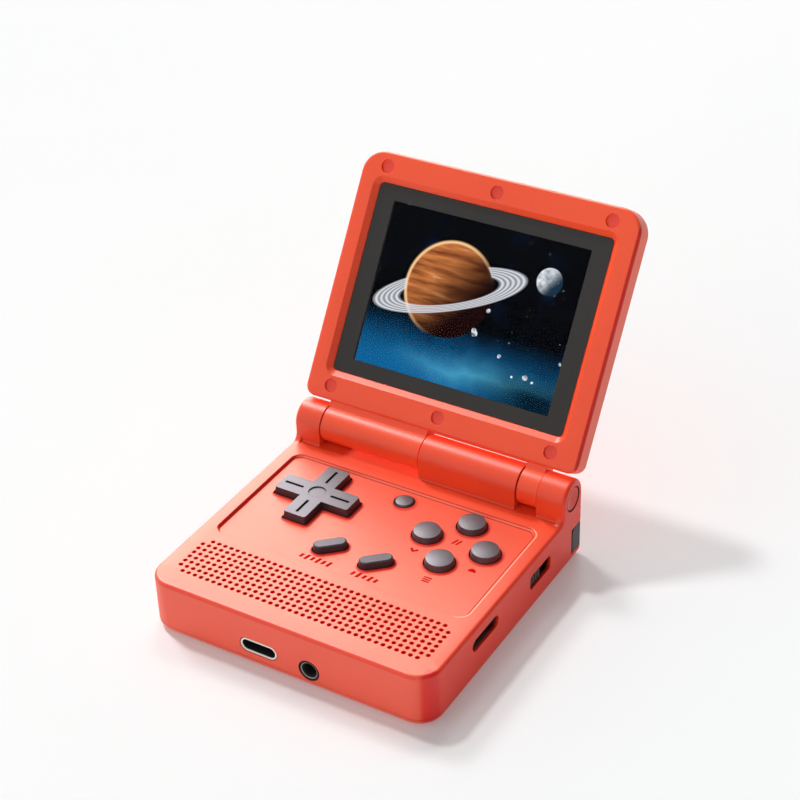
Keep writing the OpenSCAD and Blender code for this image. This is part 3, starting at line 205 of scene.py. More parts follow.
def plastic(name, colour, rough, grain=0.00002, scale=3500, edge=0.00012, lift=0.25,
            dust=0.04, specular=0.5, vary=0.05, boxes=(), paint=None):
    """Moulded plastic: fine spark-eroded grain, uneven gloss, softened edges lightened by wear and a painted
    highlight.
    Boxes name the insides of holes and slots, each with the colour of its painted shade. Paint yields
    further masks, mostly painted light and shade, each with its colour and the least roughness that it has
    there."""
    t = Tree(name)
    fine = t.noise(scale, 3.0, 0.6)
    mid = t.noise(160, 3.0, 0.55)
    broad = t.noise(22, 2.0, 0.5)
    dark = tuple(x * (1 - vary) for x in colour)
    pale = tuple(min(1.0, x * (1 + vary)) for x in colour)
    col = t.mix(t.line(broad, 0.35, 0.65, 0, 1), dark, pale)
    speck = t.line(fine, 0.3, 0.7, 1 - dust, 1 + dust)
    comb = t.node("ShaderNodeCombineColor")
    for s in comb.inputs[:3]:
        t.put(s, speck)
    col = t.mix(1.0, col, comb.outputs[0], "MULTIPLY")
    normal = None
    if edge:
        bev = t.node("ShaderNodeBevel", samples=4)
        bev.inputs["Radius"].default_value = edge
        geo = t.node("ShaderNodeNewGeometry")
        dot = t.node("ShaderNodeVectorMath", operation="DOT_PRODUCT")
        t.put(dot.inputs[0], bev.outputs[0])
        t.put(dot.inputs[1], geo.outputs["Normal"])
        # edges lighter all round: partly wear, partly a painted highlight
        edge_wear_and_highlight = t.mul(t.step(dot.outputs["Value"], 0.995, 0.86), lift)
        edge_wear_and_highlight = t.mul(edge_wear_and_highlight, t.line(mid, 0.3, 0.7, 0.55, 1.0))
        col = t.mix(edge_wear_and_highlight, col, tuple(min(1.0, x * 1.25 + 0.02) for x in colour))
        normal = bev.outputs[0]
    dull = None
    for low, high, tone in boxes:
        mask = None
        for axis, lo, hi in zip(t.xyz(), low, high):
            m = t.band(axis, lo, hi)
            mask = m if mask is None or m is None else t.mul(mask, m)
        col = t.mix(mask, col, tone)
    if paint:
        for mask, tone, matt in paint(t):
            col = t.mix(mask, col, tone)
            dull = t.mul(mask, matt) if dull is None else t.math("MAXIMUM", dull, t.mul(mask, matt))
    r = t.add(t.line(mid, 0.3, 0.7, rough - 0.02, rough + 0.02), t.line(fine, 0.3, 0.7, -0.03, 0.03))
    if dull is not None:
        r = t.math("MAXIMUM", r, dull)
    bump = t.node("ShaderNodeBump")
    bump.inputs["Strength"].default_value = 0.5
    bump.inputs["Distance"].default_value = grain
    t.put(bump.inputs["Height"], fine)
    if normal is not None:
        t.put(bump.inputs["Normal"], normal)
    t.shader(Base_Color=col, Roughness=r, Normal=bump.outputs[0], Specular_IOR_Level=specular)
    return t.mat


def metal(name, colour, rough, brush=(0, 0, 1), scale=900):
    """Plated metal with fine lines one way and faint tarnish."""
    t = Tree(name)
    m = t.node("ShaderNodeMapping")
    t.put(m.inputs["Vector"], t.at())
    m.inputs["Scale"].default_value = tuple(12 if b else 1 for b in brush)
    lines = t.noise(scale, 3.0, 0.6, m.outputs[0])
    spots = t.noise(300, 3.0, 0.6)
    col = t.mix(t.line(spots, 0.4, 0.75, 0, 1), tuple(colour), tuple(x * 0.82 for x in colour))
    bump = t.node("ShaderNodeBump")
    bump.inputs["Strength"].default_value = 0.25
    bump.inputs["Distance"].default_value = 0.00001
    t.put(bump.inputs["Height"], lines)
    t.shader(Base_Color=col, Roughness=t.line(lines, 0.3, 0.7, rough - 0.06, rough + 0.08),
             Metallic=1.0, Normal=bump.outputs[0])
    return t.mat


RED = (0.92, 0.073, 0.020)
HOLE_SHADE = (0.95, 0.002, 0.002)        # painted shade: a purer deep red inside the speaker holes
GAP_SHADE = (0.035, 0.001, 0.001)    # painted shade: near black in the open lines round keys and caps
FRONT = (0.92, 0.100, 0.050)       # front wall, paler: painted reflection of the bright floor in front
SIDE = (0.92, 0.030, 0.002)        # right wall, deeper red: painted shade where it faces away from the light
SHADE_RED = (0.66, 0.008, 0.003)        # painted shade: deep red on edges turned away from the light
SLOT_SHADE = (0.006, 0.005, 0.005)     # painted shade: near black inside the ports and slots
GREY = (0.045, 0.031, 0.040)       # keys


def box(x0, x1, y0, y1, z0, z1, tone):
    """A box in the base's own millimetres, as lowest and highest corner, with its colour."""
    def m(v, off=0.0):
        return None if v is None else v / 1000 - off
    return (m(x0), m(y0, ORIGIN_Y), m(z0)), (m(x1), m(y1, ORIGIN_Y), m(z1)), tone


# painted shade inside openings: purer red in the speaker holes, near black in the ports and slots
TOP_BOXES = (
    box(-38, 38, 5.6, 21.2, 12.0, 15.75, HOLE_SHADE),
    box(-13.2, -1.6, 0.16, 2.2, 4.0, 8.8, SLOT_SHADE),
    box(4.2, 10.5, 0.16, 2.2, 2.5, 8.7, SLOT_SHADE),
    box(38.0, 41.14, 20.3, 34.5, 8.6, 13.1, SLOT_SHADE),
    box(38.0, 41.14, 50.4, 62.4, 7.0, 11.9, SLOT_SHADE),
)


def hinge_round(t):
    """Distance from the hinge's axis, and how far out to the side."""
    x, y, z = t.xyz()
    dy, dz = t.sub(y, AXIS_Y), t.sub(z, AXIS_Z)
    return t.reach(dy, dz), t.math("ABSOLUTE", x)


def top_paint(t):
    """Painted light and shade: the recess's lit and shaded rim, black in the key gaps,
    the red shade beside the keys, and shaded lines on the front wall.
    """
    x, y, z = t.xyz()
    shade_x, shade_y = 0.45, -0.5       # the shade lies a little to the right of a key and in front of it
    # painted shade: near black in the open lines round the keys, and the red shade that lies beside each
    yield t.mul(t.band(z, 0.0120, 0.01524), t.band(t.away(*KEY_FIELD), None, 0.0)), GAP_SHADE, 0.9
    near = None
    for kx, ky, w, h, r, turn in KEYS:
        m = t.step(t.away(kx + shade_x, ky + shade_y, w, h, r, math.radians(turn)), 0.0014, 0.0003)
        near = m if near is None else t.math("MAXIMUM", near, m)
    yield t.mul(t.mul(near, t.band(z, 0.01526, 0.0154)), 0.9), (0.80, 0.020, 0.004), 1.0
    # rim of the recess: painted highlights where its edges catch the light, painted shade lines on its
    # shaded slopes and crease
    d = t.away(*RECESS)
    deep = t.band(z, 0.0152, None)
    right = t.mul(deep, t.band(x, 0.0345, None, 0.0015))
    left = t.mul(deep, t.band(x, None, -0.0366, 0.0004))
    rear = t.mul(deep, t.mul(t.band(y, 0.0625 - ORIGIN_Y, None, 0.0005), t.band(x, -0.0366, 0.0355, 0.0006)))
    fore = t.mul(deep, t.band(y, None, 0.0250 - ORIGIN_Y, 0.0005))
    yield t.mul(right, t.band(d, 0.0, 0.00032, 0.0001)), (1.0, 0.46, 0.27), 0.0
    yield t.mul(right, t.band(d, -0.00085, -0.0005, 0.00008)), SHADE_RED, 0.8
    yield t.mul(rear, t.band(d, -0.00008, 0.00014)), (0.72, 0.030, 0.008), 0.9
    yield t.mul(rear, t.band(d, -0.00040, -0.00014)), (1.0, 0.22, 0.12), 0.0
    yield t.mul(rear, t.band(d, -0.00064, -0.00042)), (0.64, 0.022, 0.006), 0.9
    yield t.mul(left, t.band(d, -0.00062, 0.00022)), SHADE_RED, 1.0
    yield t.mul(fore, t.mul(t.band(d, -0.0001, 0.00008), 0.7)), (0.42, 0.02, 0.01), 0.9
    yield from wall_paint(t)
    # front wall: painted shade, a darker line where its rounded edge ends and a deeper red on that edge
    wall = t.band(y, None, 0.0006 - ORIGIN_Y)
    yield t.mul(wall, t.mul(t.band(z, 0.01500, 0.01545), 0.7)), (0.84, 0.040, 0.012), 0.4
    yield t.mul(wall, t.mul(t.band(z, 0.01540, 0.01592, 0.0001), 0.7)), (0.92, 0.042, 0.009), 0.0
    # painted shade: a dark line round the mouth of the headphone socket
    dx, _, dz = t.off(JACK)
    yield t.mul(wall, t.band(t.reach(dx, dz), None, 0.00302)), (0.10, 0.003, 0.002), 0.9
    yield from cap_paint(t)


def wall_paint(t):
    """Painted reflection on the front wall, painted shade on the right wall and the corner between them."""
    x, y, _ = t.xyz()
    yield t.band(y, None, 0.0009 - ORIGIN_Y, 0.0006), FRONT, 0.0
    yield t.band(x, 0.0406, None, 0.0005), SIDE, 0.0
    # painted shade: deeper red on the rounded corner between the front and right walls
    corner = t.mul(t.band(x, 0.0383, None, 0.0007), t.band(y, None, 0.0048 - ORIGIN_Y, 0.0007))
    yield corner, (0.80, 0.010, 0.003), 0.0


def cap_paint(t):
    """Painted shade: a dark ring in the open gap round a hinge cap."""
    r, out = hinge_round(t)
    yield t.mul(t.band(r, 0.00314, 0.00358), t.band(out, 0.0398, None)), (0.14, 0.002, 0.002), 1.0


def lid_paint(t):
    """Painted shade: the lid's rounded right edge is a deeper red where it turns away from the light."""
    n = t.node("ShaderNodeVectorMath", operation="DOT_PRODUCT")
    t.put(n.inputs[0], t.at())
    n.inputs[1].default_value = OUT
    height = t.sub(n.outputs["Value"], Vector((0, AXIS_Y, AXIS_Z)).dot(OUT))
    edge = t.band(t.xyz()[0], 0.0407, None, 0.00022)
    yield t.mul(edge, t.mul(t.band(height, 0.0026, None, 0.0002), 0.9)), SHADE_RED, 0.8


def dpad_paint(t):
    """Painted shade: black in the four grooves and a fine dark line round the dish."""
    z = t.xyz()[2]
    dx, dy, _ = t.off((*DPAD, 0))
    ax, ay = t.math("ABSOLUTE", dx), t.math("ABSOLUTE", dy)
    groove = t.math("MAXIMUM", t.mul(t.band(ax, None, 0.00047), t.band(ay, 0.0042, 0.0100)),
                    t.mul(t.band(ay, None, 0.00047), t.band(ax, 0.0042, 0.0100)))
    yield t.mul(groove, t.band(z, 0.0165, 0.01730, 0.00002)), (0.003, 0.002, 0.003), 0.8
    dish = t.band(t.reach(dx, dy), 0.00226, 0.00243)
    yield t.mul(dish, t.mul(t.band(z, 0.0165, None), 0.85)), (0.008, 0.006, 0.007), 0.9


def port_paint(t):
    """A bright folded lip, a painted highlight in place of the lit metal shell, on a black inside that is
    painted shade.
    """
    yield t.band(t.xyz()[1], 0.00036 - ORIGIN_Y, None, 0.00006), (0.004, 0.003, 0.003), 0.8


def jack_paint(t):
    """A fine pale ring between a black collar and a black mouth."""
    dx, _, dz = t.off(JACK)
    r = t.reach(dx, dz)
    yield t.band(r, 0.00215, 0.00238), (0.34, 0.29, 0.28), 0.0
    yield t.band(r, None, 0.00212), (0.003, 0.003, 0.003), 0.9
    yield t.band(r, 0.00240, None), (0.006, 0.004, 0.004), 0.9


M = {
    "shell": plastic("shell_plastic", RED, 0.38, edge=0.0002, paint=wall_paint),
    "shell_top": plastic("shell_plastic_top", RED, 0.38, edge=0.0002, boxes=TOP_BOXES, paint=top_paint),
    # the lid's copy of the red is brighter than the base's: painted light on its face
    "shell_lid": plastic("shell_plastic_lid_lit", (1.0, 0.086, 0.022), 0.38, edge=0.0002, paint=lid_paint),
    "cap": plastic("hinge_cap_plastic", (0.80, 0.050, 0.030), 0.42, edge=0.0002, paint=cap_paint),
    "lid_cap": plastic("lid_cap_plastic", (0.80, 0.050, 0.022), 0.42, edge=0.0002),
    "button": plastic("button_plastic", GREY, 0.42, scale=3000, lift=0.35, specular=1.0),
    "dpad": plastic("dpad_plastic", GREY, 0.40, scale=3000, lift=0.35, specular=0.68,
                    paint=dpad_paint),
    "pill": plastic("pill_plastic", GREY, 0.40, scale=3000, lift=0.35, specular=0.45),
    # the port's pale lip is a painted highlight in place of its lit metal shell
    "port": plastic("port_lip", (1.0, 0.96, 0.88), 0.30, edge=0, paint=port_paint),
    "jack": plastic("jack_plastic", (0.010, 0.010, 0.011), 0.40, edge=0, paint=jack_paint),
    "black": plastic("black_plastic", (0.022, 0.022, 0.024), 0.45, grain=0.00003),
    "inner": plastic("inner_plastic", (0.05, 0.05, 0.055), 0.5, edge=0),
    "rubber": plastic("rubber", (0.03, 0.03, 0.03), 0.8, grain=0.00005, edge=0.0002),
    "silicone": plastic("silicone", (0.6, 0.6, 0.6), 0.5, edge=0),
    "foam": plastic("foam", (0.03, 0.03, 0.03), 0.95, grain=0.0002, scale=1500, edge=0),
    "battery": plastic("battery_wrap", (0.04, 0.06, 0.11), 0.35, edge=0),
    "flex": plastic("flex_film", (0.42, 0.17, 0.03), 0.35, edge=0),
    "ink": plastic("window_ink", (0.044, 0.044, 0.041), 0.6, grain=0.000004, edge=0,
                   specular=0.12, vary=0.03),
    "mark": plastic("mark_ink", (0.66, 0.004, 0.002), 0.9, grain=0.000004, edge=0, specular=0.05),
    "slider": plastic("slider_plastic", (0.10, 0.090, 0.075), 0.5, grain=0.00003),
    "steel": metal("plated_steel", (0.78, 0.78, 0.80), 0.28),
}


def board():
    """Circuit board: green mask over copper lines, with bare pads."""
    t = Tree("circuit_board")
    v = t.node("ShaderNodeTexVoronoi", distance="MANHATTAN")
    t.put(v.inputs["Vector"], t.at())
    v.inputs["Scale"].default_value = 350
    pads = t.step(v.outputs["Distance"], 0.16, 0.12)
    w = t.node("ShaderNodeTexWave", wave_type="BANDS", bands_direction="DIAGONAL")
    t.put(w.inputs["Vector"], t.at())
    w.inputs["Scale"].default_value = 420
    lines = t.mul(t.step(w.outputs["Fac"], 0.7, 0.8), t.step(t.noise(90, 1.0), 0.5, 0.52))
    col = t.mix(lines, (0.012, 0.085, 0.035), (0.03, 0.17, 0.07))
    col = t.mix(pads, col, (0.62, 0.55, 0.38))
    t.shader(Base_Color=col, Roughness=t.line(t.noise(700), 0.3, 0.7, 0.28, 0.4),
             Metallic=t.mul(pads, 0.9))
    return t.mat


def clear_window():
    """Hard clear window with a coating that kills most of its reflection, and hair scratches."""
    t = Tree("clear_window")
    m = t.node("ShaderNodeMapping")
    t.put(m.inputs["Vector"], t.at())
    m.inputs["Scale"].default_value = (1, 14, 14)
    hair = t.noise(700, 2.0, 0.5, m.outputs[0])
    t.shader(Base_Color=(1, 1, 1, 1), Roughness=t.line(t.step(hair, 0.66, 0.72), 0, 1, 0.0, 0.12),
             IOR=1.12, Transmission_Weight=1.0, Specular_IOR_Level=0.5)
    return t.mat


def speaker_cone():
    """Red mesh of the speakers, seen through the holes."""
    t = Tree("speaker_mesh")
    v = t.node("ShaderNodeTexVoronoi")
    t.put(v.inputs["Vector"], t.at())
    v.inputs["Scale"].default_value = 1800
    col = t.mix(t.step(v.outputs["Distance"], 0.25, 0.5), (0.10, 0.002, 0.002), (0.30, 0.004, 0.004))
    t.shader(Base_Color=col, Roughness=t.line(v.outputs["Distance"], 0, 1, 0.5, 0.7))
    return t.mat


M["board"] = board()
M["window"] = clear_window()
M["cone"] = speaker_cone()

# ---- carried-over CAD nodes: smooth shading and materials ----
FINISH = {
    "shell": "shell", "button": "button", "black": "black", "inner_plastic": "inner", "steel": "steel",
    "board": "board", "battery": "battery", "foam": "foam", "silicone": "silicone", "rubber": "rubber",
    "flex": "flex", "window": "window", "display": "black",
}
OWN = {
    "top_case": "shell_top", "lid_front": "shell_lid", "lid_back": "shell_lid", "screw_caps": "lid_cap",
    "hinge_cap_left": "cap", "hinge_cap_right": "cap", "dpad": "dpad", "usb_port": "port",
    "headphone_jack": "jack", "select_button": "pill", "start_button": "pill",
}
slots = {s["node"]: s["material_slot"] for s in frame["record"]["subparts"]}


def shade(o, degrees=33):
    """Smooth normals across edges gentler than the angle, without touching a vertex."""
    me = o.data
    nv, nl, nf = len(me.vertices), len(me.loops), len(me.polygons)
    co = np.zeros(nv * 3, np.float32)
    me.vertices.foreach_get("co", co)
    co = co.reshape(-1, 3).astype(float)
    vi = np.zeros(nl, np.int32)
    me.loops.foreach_get("vertex_index", vi)
    start = np.zeros(nf, np.int32)
    total = np.zeros(nf, np.int32)
    me.polygons.foreach_get("loop_start", start)
    me.polygons.foreach_get("loop_total", total)
    if (total != 3).any():
        return
    face = np.repeat(np.arange(nf), 3)
    tri = co[vi].reshape(-1, 3, 3)
    cr = np.cross(tri[:, 1] - tri[:, 0], tri[:, 2] - tri[:, 0])
    area = np.linalg.norm(cr, axis=1)
    fn = cr / np.maximum(area, 1e-20)[:, None]
    corner = np.zeros((nf, 3))
    for k in range(3):
        a = tri[:, (k + 1) % 3] - tri[:, k]
        b = tri[:, (k + 2) % 3] - tri[:, k]
        d = (a * b).sum(1) / np.maximum(np.linalg.norm(a, axis=1) * np.linalg.norm(b, axis=1), 1e-20)
        corner[:, k] = np.arccos(np.clip(d, -1, 1))
    weight = corner.ravel() * np.repeat(area, 3)
    _, key = np.unique(np.round(co[vi] * 2e6).astype(np.int64), axis=0, return_inverse=True)
    key = key.ravel()
    order = np.argsort(key, kind="stable")
    groups = np.split(order, np.flatnonzero(np.diff(key[order])) + 1)
    limit = math.cos(math.radians(degrees))
    normal = fn[face].copy()
    for g in groups:
        n = fn[face[g]]
        near = (n @ n.T) > limit
        s = near @ (n * weight[g][:, None])
        length = np.linalg.norm(s, axis=1)
        ok = length > 1e-20
        normal[g[ok]] = s[ok] / length[ok][:, None]
    me.polygons.foreach_set("use_smooth", np.ones(nf, bool))
    me.normals_split_custom_set(normal.tolist())


for name, o in nodes.items():
    shade(o)
    kind = OWN.get(name, FINISH[slots[name]])
    if name.startswith("speaker_") and name != "speaker_gaskets":
        kind = "cone"
    o.data.materials.clear()
    o.data.materials.append(M[kind])


# ---- the picture shown on the display ----
def top_of(name):
    """How far a lid node reaches out of the hinge's plane."""
    me = nodes[name].data
    return max((v.co - Vector((0, AXIS_Y, AXIS_Z))).dot(OUT) for v in me.vertices)


GLASS_N, PANEL_N = top_of("screen_glass"), top_of("display_panel")


def picture_material():
    """A made-up sky: a ringed amber planet over blue haze, a pale moon, loose stones and stars."""
    t = Tree("screen_glow")
    uv = t.node("ShaderNodeUVMap", uv_map="picture").outputs[0]
    sep = t.node("ShaderNodeSeparateXYZ")
    t.put(sep.inputs[0], uv)
    x, y = sep.outputs[0], sep.outputs[1]          # in units of the picture's height

    def dist(cx, cy, sx=1.0, sy=1.0, turn=0.0):
        dx, dy = t.sub(x, cx), t.sub(y, cy)
        if turn:
            dx, dy = t.turned(dx, dy, turn)
        dx, dy = t.mul(dx, 1 / sx), t.mul(dy, 1 / sy)
        return t.reach(dx, dy), dx, dy

    # haze along the bottom, falling away to black
    wob = t.noise(2.6, 4.0, 0.55, uv)
    h = t.add(y, t.mul(t.sub(wob, 0.5), 0.22))
    haze = t.step(h, 0.40, 0.02)
    col = t.mix(haze, (0.0006, 0.0008, 0.0016), (0.004, 0.115, 0.30))
    beside = t.math("ABSOLUTE", t.mul(t.sub(h, 0.10), 7.0))
    band = t.math("POWER", t.math("SUBTRACT", 1.0, beside, clamp=True), 2.0)
    col = t.mix(t.mul(band, t.step(x, 0.1, 0.95)), col, (0.07, 0.40, 0.62))
    col = t.mix(t.mul(t.step(y, 0.30, 0.06), t.step(x, 0.6, 1.2)), col, (0.001, 0.012, 0.028))
    cloud = t.step(t.noise(4.2, 5.0, 0.6, uv, 0.6), 0.52, 0.85)
    col = t.mix(t.mul(cloud, t.step(y, 0.15, 0.5)), col, (0.004, 0.012, 0.045))
    # planet
    d, dx, dy = dist(0.50, 0.56, 0.29, 0.29)
    disc = t.step(d, 1.0, 0.985)
    drawn = t.node("ShaderNodeMapping", vector_type="POINT")
    t.put(drawn.inputs["Vector"], uv)
    drawn.inputs["Scale"].default_value = (1.0, 7.0, 1.0)
    drawn.inputs["Rotation"].default_value = (0, 0, 0.35)
    bands = t.noise(3.2, 5.0, 0.55, drawn.outputs[0], 0.4)
    surf = t.mix(t.line(bands, 0.3, 0.7, 0, 1), (0.11, 0.014, 0.005), (0.80, 0.27, 0.075))
    surf = t.mix(t.step(bands, 0.62, 0.78), surf, (0.90, 0.62, 0.42))
    lit = t.step(t.add(t.mul(dx, -0.72), t.mul(dy, 0.55)), -0.55, 0.75)
    surf = t.mix(lit, (0.010, 0.002, 0.002), surf)
    col = t.mix(disc, col, surf)
    sunward = t.step(t.add(t.mul(dx, -0.7), t.mul(dy, 0.6)), -0.5, 0.6)
    rim = t.mul(t.step(t.math("ABSOLUTE", t.sub(d, 1.0)), 0.055, 0.0), sunward)
    col = t.mix(rim, col, (1.0, 0.62, 0.30))
    # its rings, in front below and behind above
    r, _, ry = dist(0.50, 0.56, 0.52, 0.13, 0.35)
    ring = t.mul(t.step(r, 0.62, 0.66), t.step(r, 1.0, 0.97))
    stripe = t.math("SINE", t.mul(r, 95.0))
    ring = t.mul(ring, t.line(stripe, -1, 1, 0.35, 1.0))
    front = t.math("MAXIMUM", t.step(ry, 0.0, -0.05), t.math("SUBTRACT", 1.0, disc, clamp=True))
    col = t.mix(t.mul(t.mul(ring, front), 0.92), col, (0.78, 0.80, 0.86))
    # moon
    m, mx, my = dist(1.12, 0.76, 0.085, 0.085)
    craters = t.noise(26.0, 3.0, 0.6, uv)
    moon = t.mix(t.line(craters, 0.35, 0.65, 0, 1), (0.30, 0.36, 0.42), (0.85, 0.88, 0.9))
    moon = t.mix(t.step(t.add(t.mul(mx, -0.7), t.mul(my, 0.5)), -0.5, 0.5), (0.008, 0.03, 0.06), moon)
    col = t.mix(t.step(m, 1.0, 0.96), col, moon)
    # loose stones drifting on the right, and stars
    v = t.node("ShaderNodeTexVoronoi", feature="F1")
    t.put(v.inputs["Vector"], uv)
    v.inputs["Scale"].default_value = 15.0
    hue = t.node("ShaderNodeSeparateColor")
    t.put(hue.inputs[0], v.outputs["Color"])
    size = t.line(hue.outputs[0], 0.45, 1.0, 0.0, 0.34)
    edge = t.add(v.outputs["Distance"], t.mul(t.sub(t.noise(40, 2.0, 0.5, uv), 0.5), 0.18))
    stone = t.math("LESS_THAN", edge, size)
    belt = dist(1.02, 0.33, 0.34, 0.17, -0.35)[0]
    stone = t.mul(stone, t.math("LESS_THAN", belt, 1.0))
    shadow = t.line(t.noise(34, 2.0, 0.5, uv), 0.35, 0.62, 0.12, 1.0)
    col = t.mix(t.mul(stone, shadow), col, (0.92, 0.97, 1.0))
    s = t.node("ShaderNodeTexVoronoi", feature="F1")
    t.put(s.inputs["Vector"], uv)
    s.inputs["Scale"].default_value = 26.0
    sh = t.node("ShaderNodeSeparateColor")
    t.put(sh.inputs[0], s.outputs["Color"])
    star = t.math("LESS_THAN", s.outputs["Distance"], t.line(sh.outputs[1], 0.55, 1.0, 0.0, 0.085))
    star = t.mul(star, t.mul(t.step(y, 0.28, 0.5), t.sub(1.0, disc)))
    col = t.mix(star, col, (0.75, 0.85, 1.0))
    em = t.node("ShaderNodeEmission")
    t.put(em.inputs["Color"], col)
    em.inputs["Strength"].default_value = 1.0
    t.nt.links.new(em.outputs[0], t.out.inputs[0])
    return t.mat


def new_object(me, mat):
    """An object of the mesh's own name, in the scene."""
    o = bpy.data.objects.new(me.name, me)
    bpy.context.scene.collection.objects.link(o)
    me.materials.append(mat)
    return o


def lid_film(name, verts, faces, mat):
    """A thin piece on the lid, from its points and faces."""
    me = bpy.data.meshes.new(name)
    me.from_pydata([tuple(v) for v in verts], [], faces)
    me.update()
    o = new_object(me, mat)
    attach(o, "lid")
    return o


def solid_from(bm, name, mat, body):
    """A small piece with the given material, from a bmesh that is used up."""
    me = bpy.data.meshes.new(name)
    bm.to_mesh(me)
    bm.free()
    o = new_object(me, mat)
    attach(o, body)


def picture():
    """The lit picture, a fine grid just over the display's panel."""
    w, h = SCREEN_W, SCREEN_H
    nx, ny = 24, 18
    verts, faces, uvs = [], [], []
    for j in range(ny + 1):
        for i in range(nx + 1):
            a, b = i / nx, j / ny
            verts.append(lid(SCREEN_X + (a - 0.5) * w, SCREEN_V + (b - 0.5) * h, PANEL_N + 0.00002))
            uvs.append((a * w / h, b))
    for j in range(ny):
        for i in range(nx):
            k = j * (nx + 1) + i
            faces.append((k, k + 1, k + nx + 2, k + nx + 1))
    o = lid_film("screen_picture", verts, faces, picture_material())
    layer = o.data.uv_layers.new(name="picture")
    for loop in o.data.loops:
        layer.data[loop.index].uv = uvs[loop.vertex_index]


def ring_outline(w, h, r, n=10):
    """Points round a rectangle with rounded corners, n steps to a corner."""
    pts = []
    for sx, sy, start in ((1, 1, 0), (-1, 1, 90), (-1, -1, 180), (1, -1, 270)):
        cx, cy = sx * (w / 2 - r), sy * (h / 2 - r)
        for i in range(n + 1):
            a = math.radians(start + 90 * i / n)
            pts.append((cx + r * math.cos(a), cy + r * math.sin(a)))
    return pts


def window_print():
    """The dark frame printed on the window, a film that lies on the glass."""
    outer = ring_outline(WINDOW_W, WINDOW_H, 0.0014)
    inner = ring_outline(SCREEN_W, SCREEN_H, 0.0001)
    n = len(outer)
    verts = []
    for level in (GLASS_N + 0.000001, GLASS_N + 0.00002):
        for p in outer + inner:
            verts.append(lid(SCREEN_X + p[0], SCREEN_V + p[1], level))
    faces = []
    for i in range(n):
        j = (i + 1) % n
        faces.append((2 * n + i, 2 * n + j, 3 * n + j, 3 * n + i))
        faces.append((j, i, n + i, n + j))
        faces.append((i, j, 2 * n + j, 2 * n + i))
        faces.append((n + j, n + i, 3 * n + i, 3 * n + j))
    lid_film("window_print", verts, faces, M["ink"])


picture()
window_print()


# ---- small printed marks beside the keys: plain tokens in place of the photograph's words ----
def marks():
    """The dashes by the long keys and the tokens by the round ones, as very low prisms."""
    bm = bmesh.new()
    z0, z1 = FLOOR_Z - 0.00002, FLOOR_Z + 0.00002

    def prism(points):
        low = [bm.verts.new((p[0], p[1], z0)) for p in points]
        high = [bm.verts.new((p[0], p[1], z1)) for p in points]
        bm.faces.new(high)
        bm.faces.new(low[::-1])
        for i in range(len(points)):
            j = (i + 1) % len(points)
            bm.faces.new((low[i], low[j], high[j], high[i]))

    def shape(x, y, points):
        c = base(x, y, 0)
        prism([(c.x + px / 1000, c.y + py / 1000) for px, py in points])

    def bar(x, y, w, h, lean=0.0):
        corners = ((-1, -1), (1, -1), (1, 1), (-1, 1))
        shape(x, y, [(lean * sy * h / 2 + sx * w / 2, sy * h / 2) for sx, sy in corners])

    # a row of short dashes in front of each of the two long keys
    for x0, x1, count in ((-12.6, -2.8, 6), (2.7, 11.0, 5)):
        step = (x1 - x0) / count
        for i in range(count):
            bar(x0 + step * (i + 0.5), 27.2, step * 0.5, 2.1 if i % 2 else 1.5, 0.25)
    # four different tokens by the round keys: slanted bars, a chevron, a half disc and level bars
    for side in (-0.55, 0.55):
        bar(MARKS[0][0] + side, MARKS[0][1], 0.55, 2.1, 0.35)
    shape(*MARKS[1], [(-1.25, 0.3), (-0.85, 0.85), (0, 0.05), (0.85, 0.85), (1.25, 0.3), (0, -0.85)])
    arc = [(1.15 * math.cos(math.pi * i / 12), 1.3 * math.sin(math.pi * i / 12) - 0.6) for i in range(13)]
    shape(*MARKS[2], arc)
    for up_by in (-0.8, 0, 0.8):
        bar(MARKS[3][0], MARKS[3][1] + up_by, 2.2, 0.42)
    solid_from(bm, "key_marks", M["mark"], "base")


marks()


def slider_tail():
    """The slider's stop behind the far end of its window, with softened edges."""
    lo, hi = base(38.85, 58.1, 8.05), base(39.5, 61.2, 10.85)
    bm = bmesh.new()
    bmesh.ops.create_cube(bm, size=1.0)
    for v in bm.verts:
        v.co = Vector([lo[i] + (hi[i] - lo[i]) * (v.co[i] + 0.5) for i in range(3)])
    bmesh.ops.bevel(bm, geom=list(bm.edges), offset=0.0002, segments=3, affect="EDGES", profile=0.5)
    solid_from(bm, "slider_tail", M["slider"], "power_slider")


slider_tail()


# ---- floor, lights, world and camera ----
PAPER_GLOW = 0.165                              # pale glow of the paper, which keeps its shadows light
WORLD_LEVEL = 0.41
GAIN_LEFT, GAIN_FRONT = 0.31, 0.47              # how much stronger the room is on those sides
AT_HORIZON, OVERHEAD = 1.30, 0.48               # share of the level at each height
KEY_WAY = (-0.466, 0.156, 0.87)
SECOND_WAY = (-0.88, 0.42, 1.0)
SHEEN_SIZE = 1.6


def shown(nt):
    """1 for rays that show the background: to the camera, in gloss and through glass."""
    path = nt.nodes.new("ShaderNodeLightPath")
    a = nt.nodes.new("ShaderNodeMath")
    a.operation = "MAXIMUM"
    nt.links.new(path.outputs["Is Camera Ray"], a.inputs[0])
    nt.links.new(path.outputs["Is Glossy Ray"], a.inputs[1])
    b = nt.nodes.new("ShaderNodeMath")
    b.operation = "MAXIMUM"
    nt.links.new(a.outputs[0], b.inputs[0])
    nt.links.new(path.outputs["Is Transmission Ray"], b.inputs[1])
    return b.outputs[0]


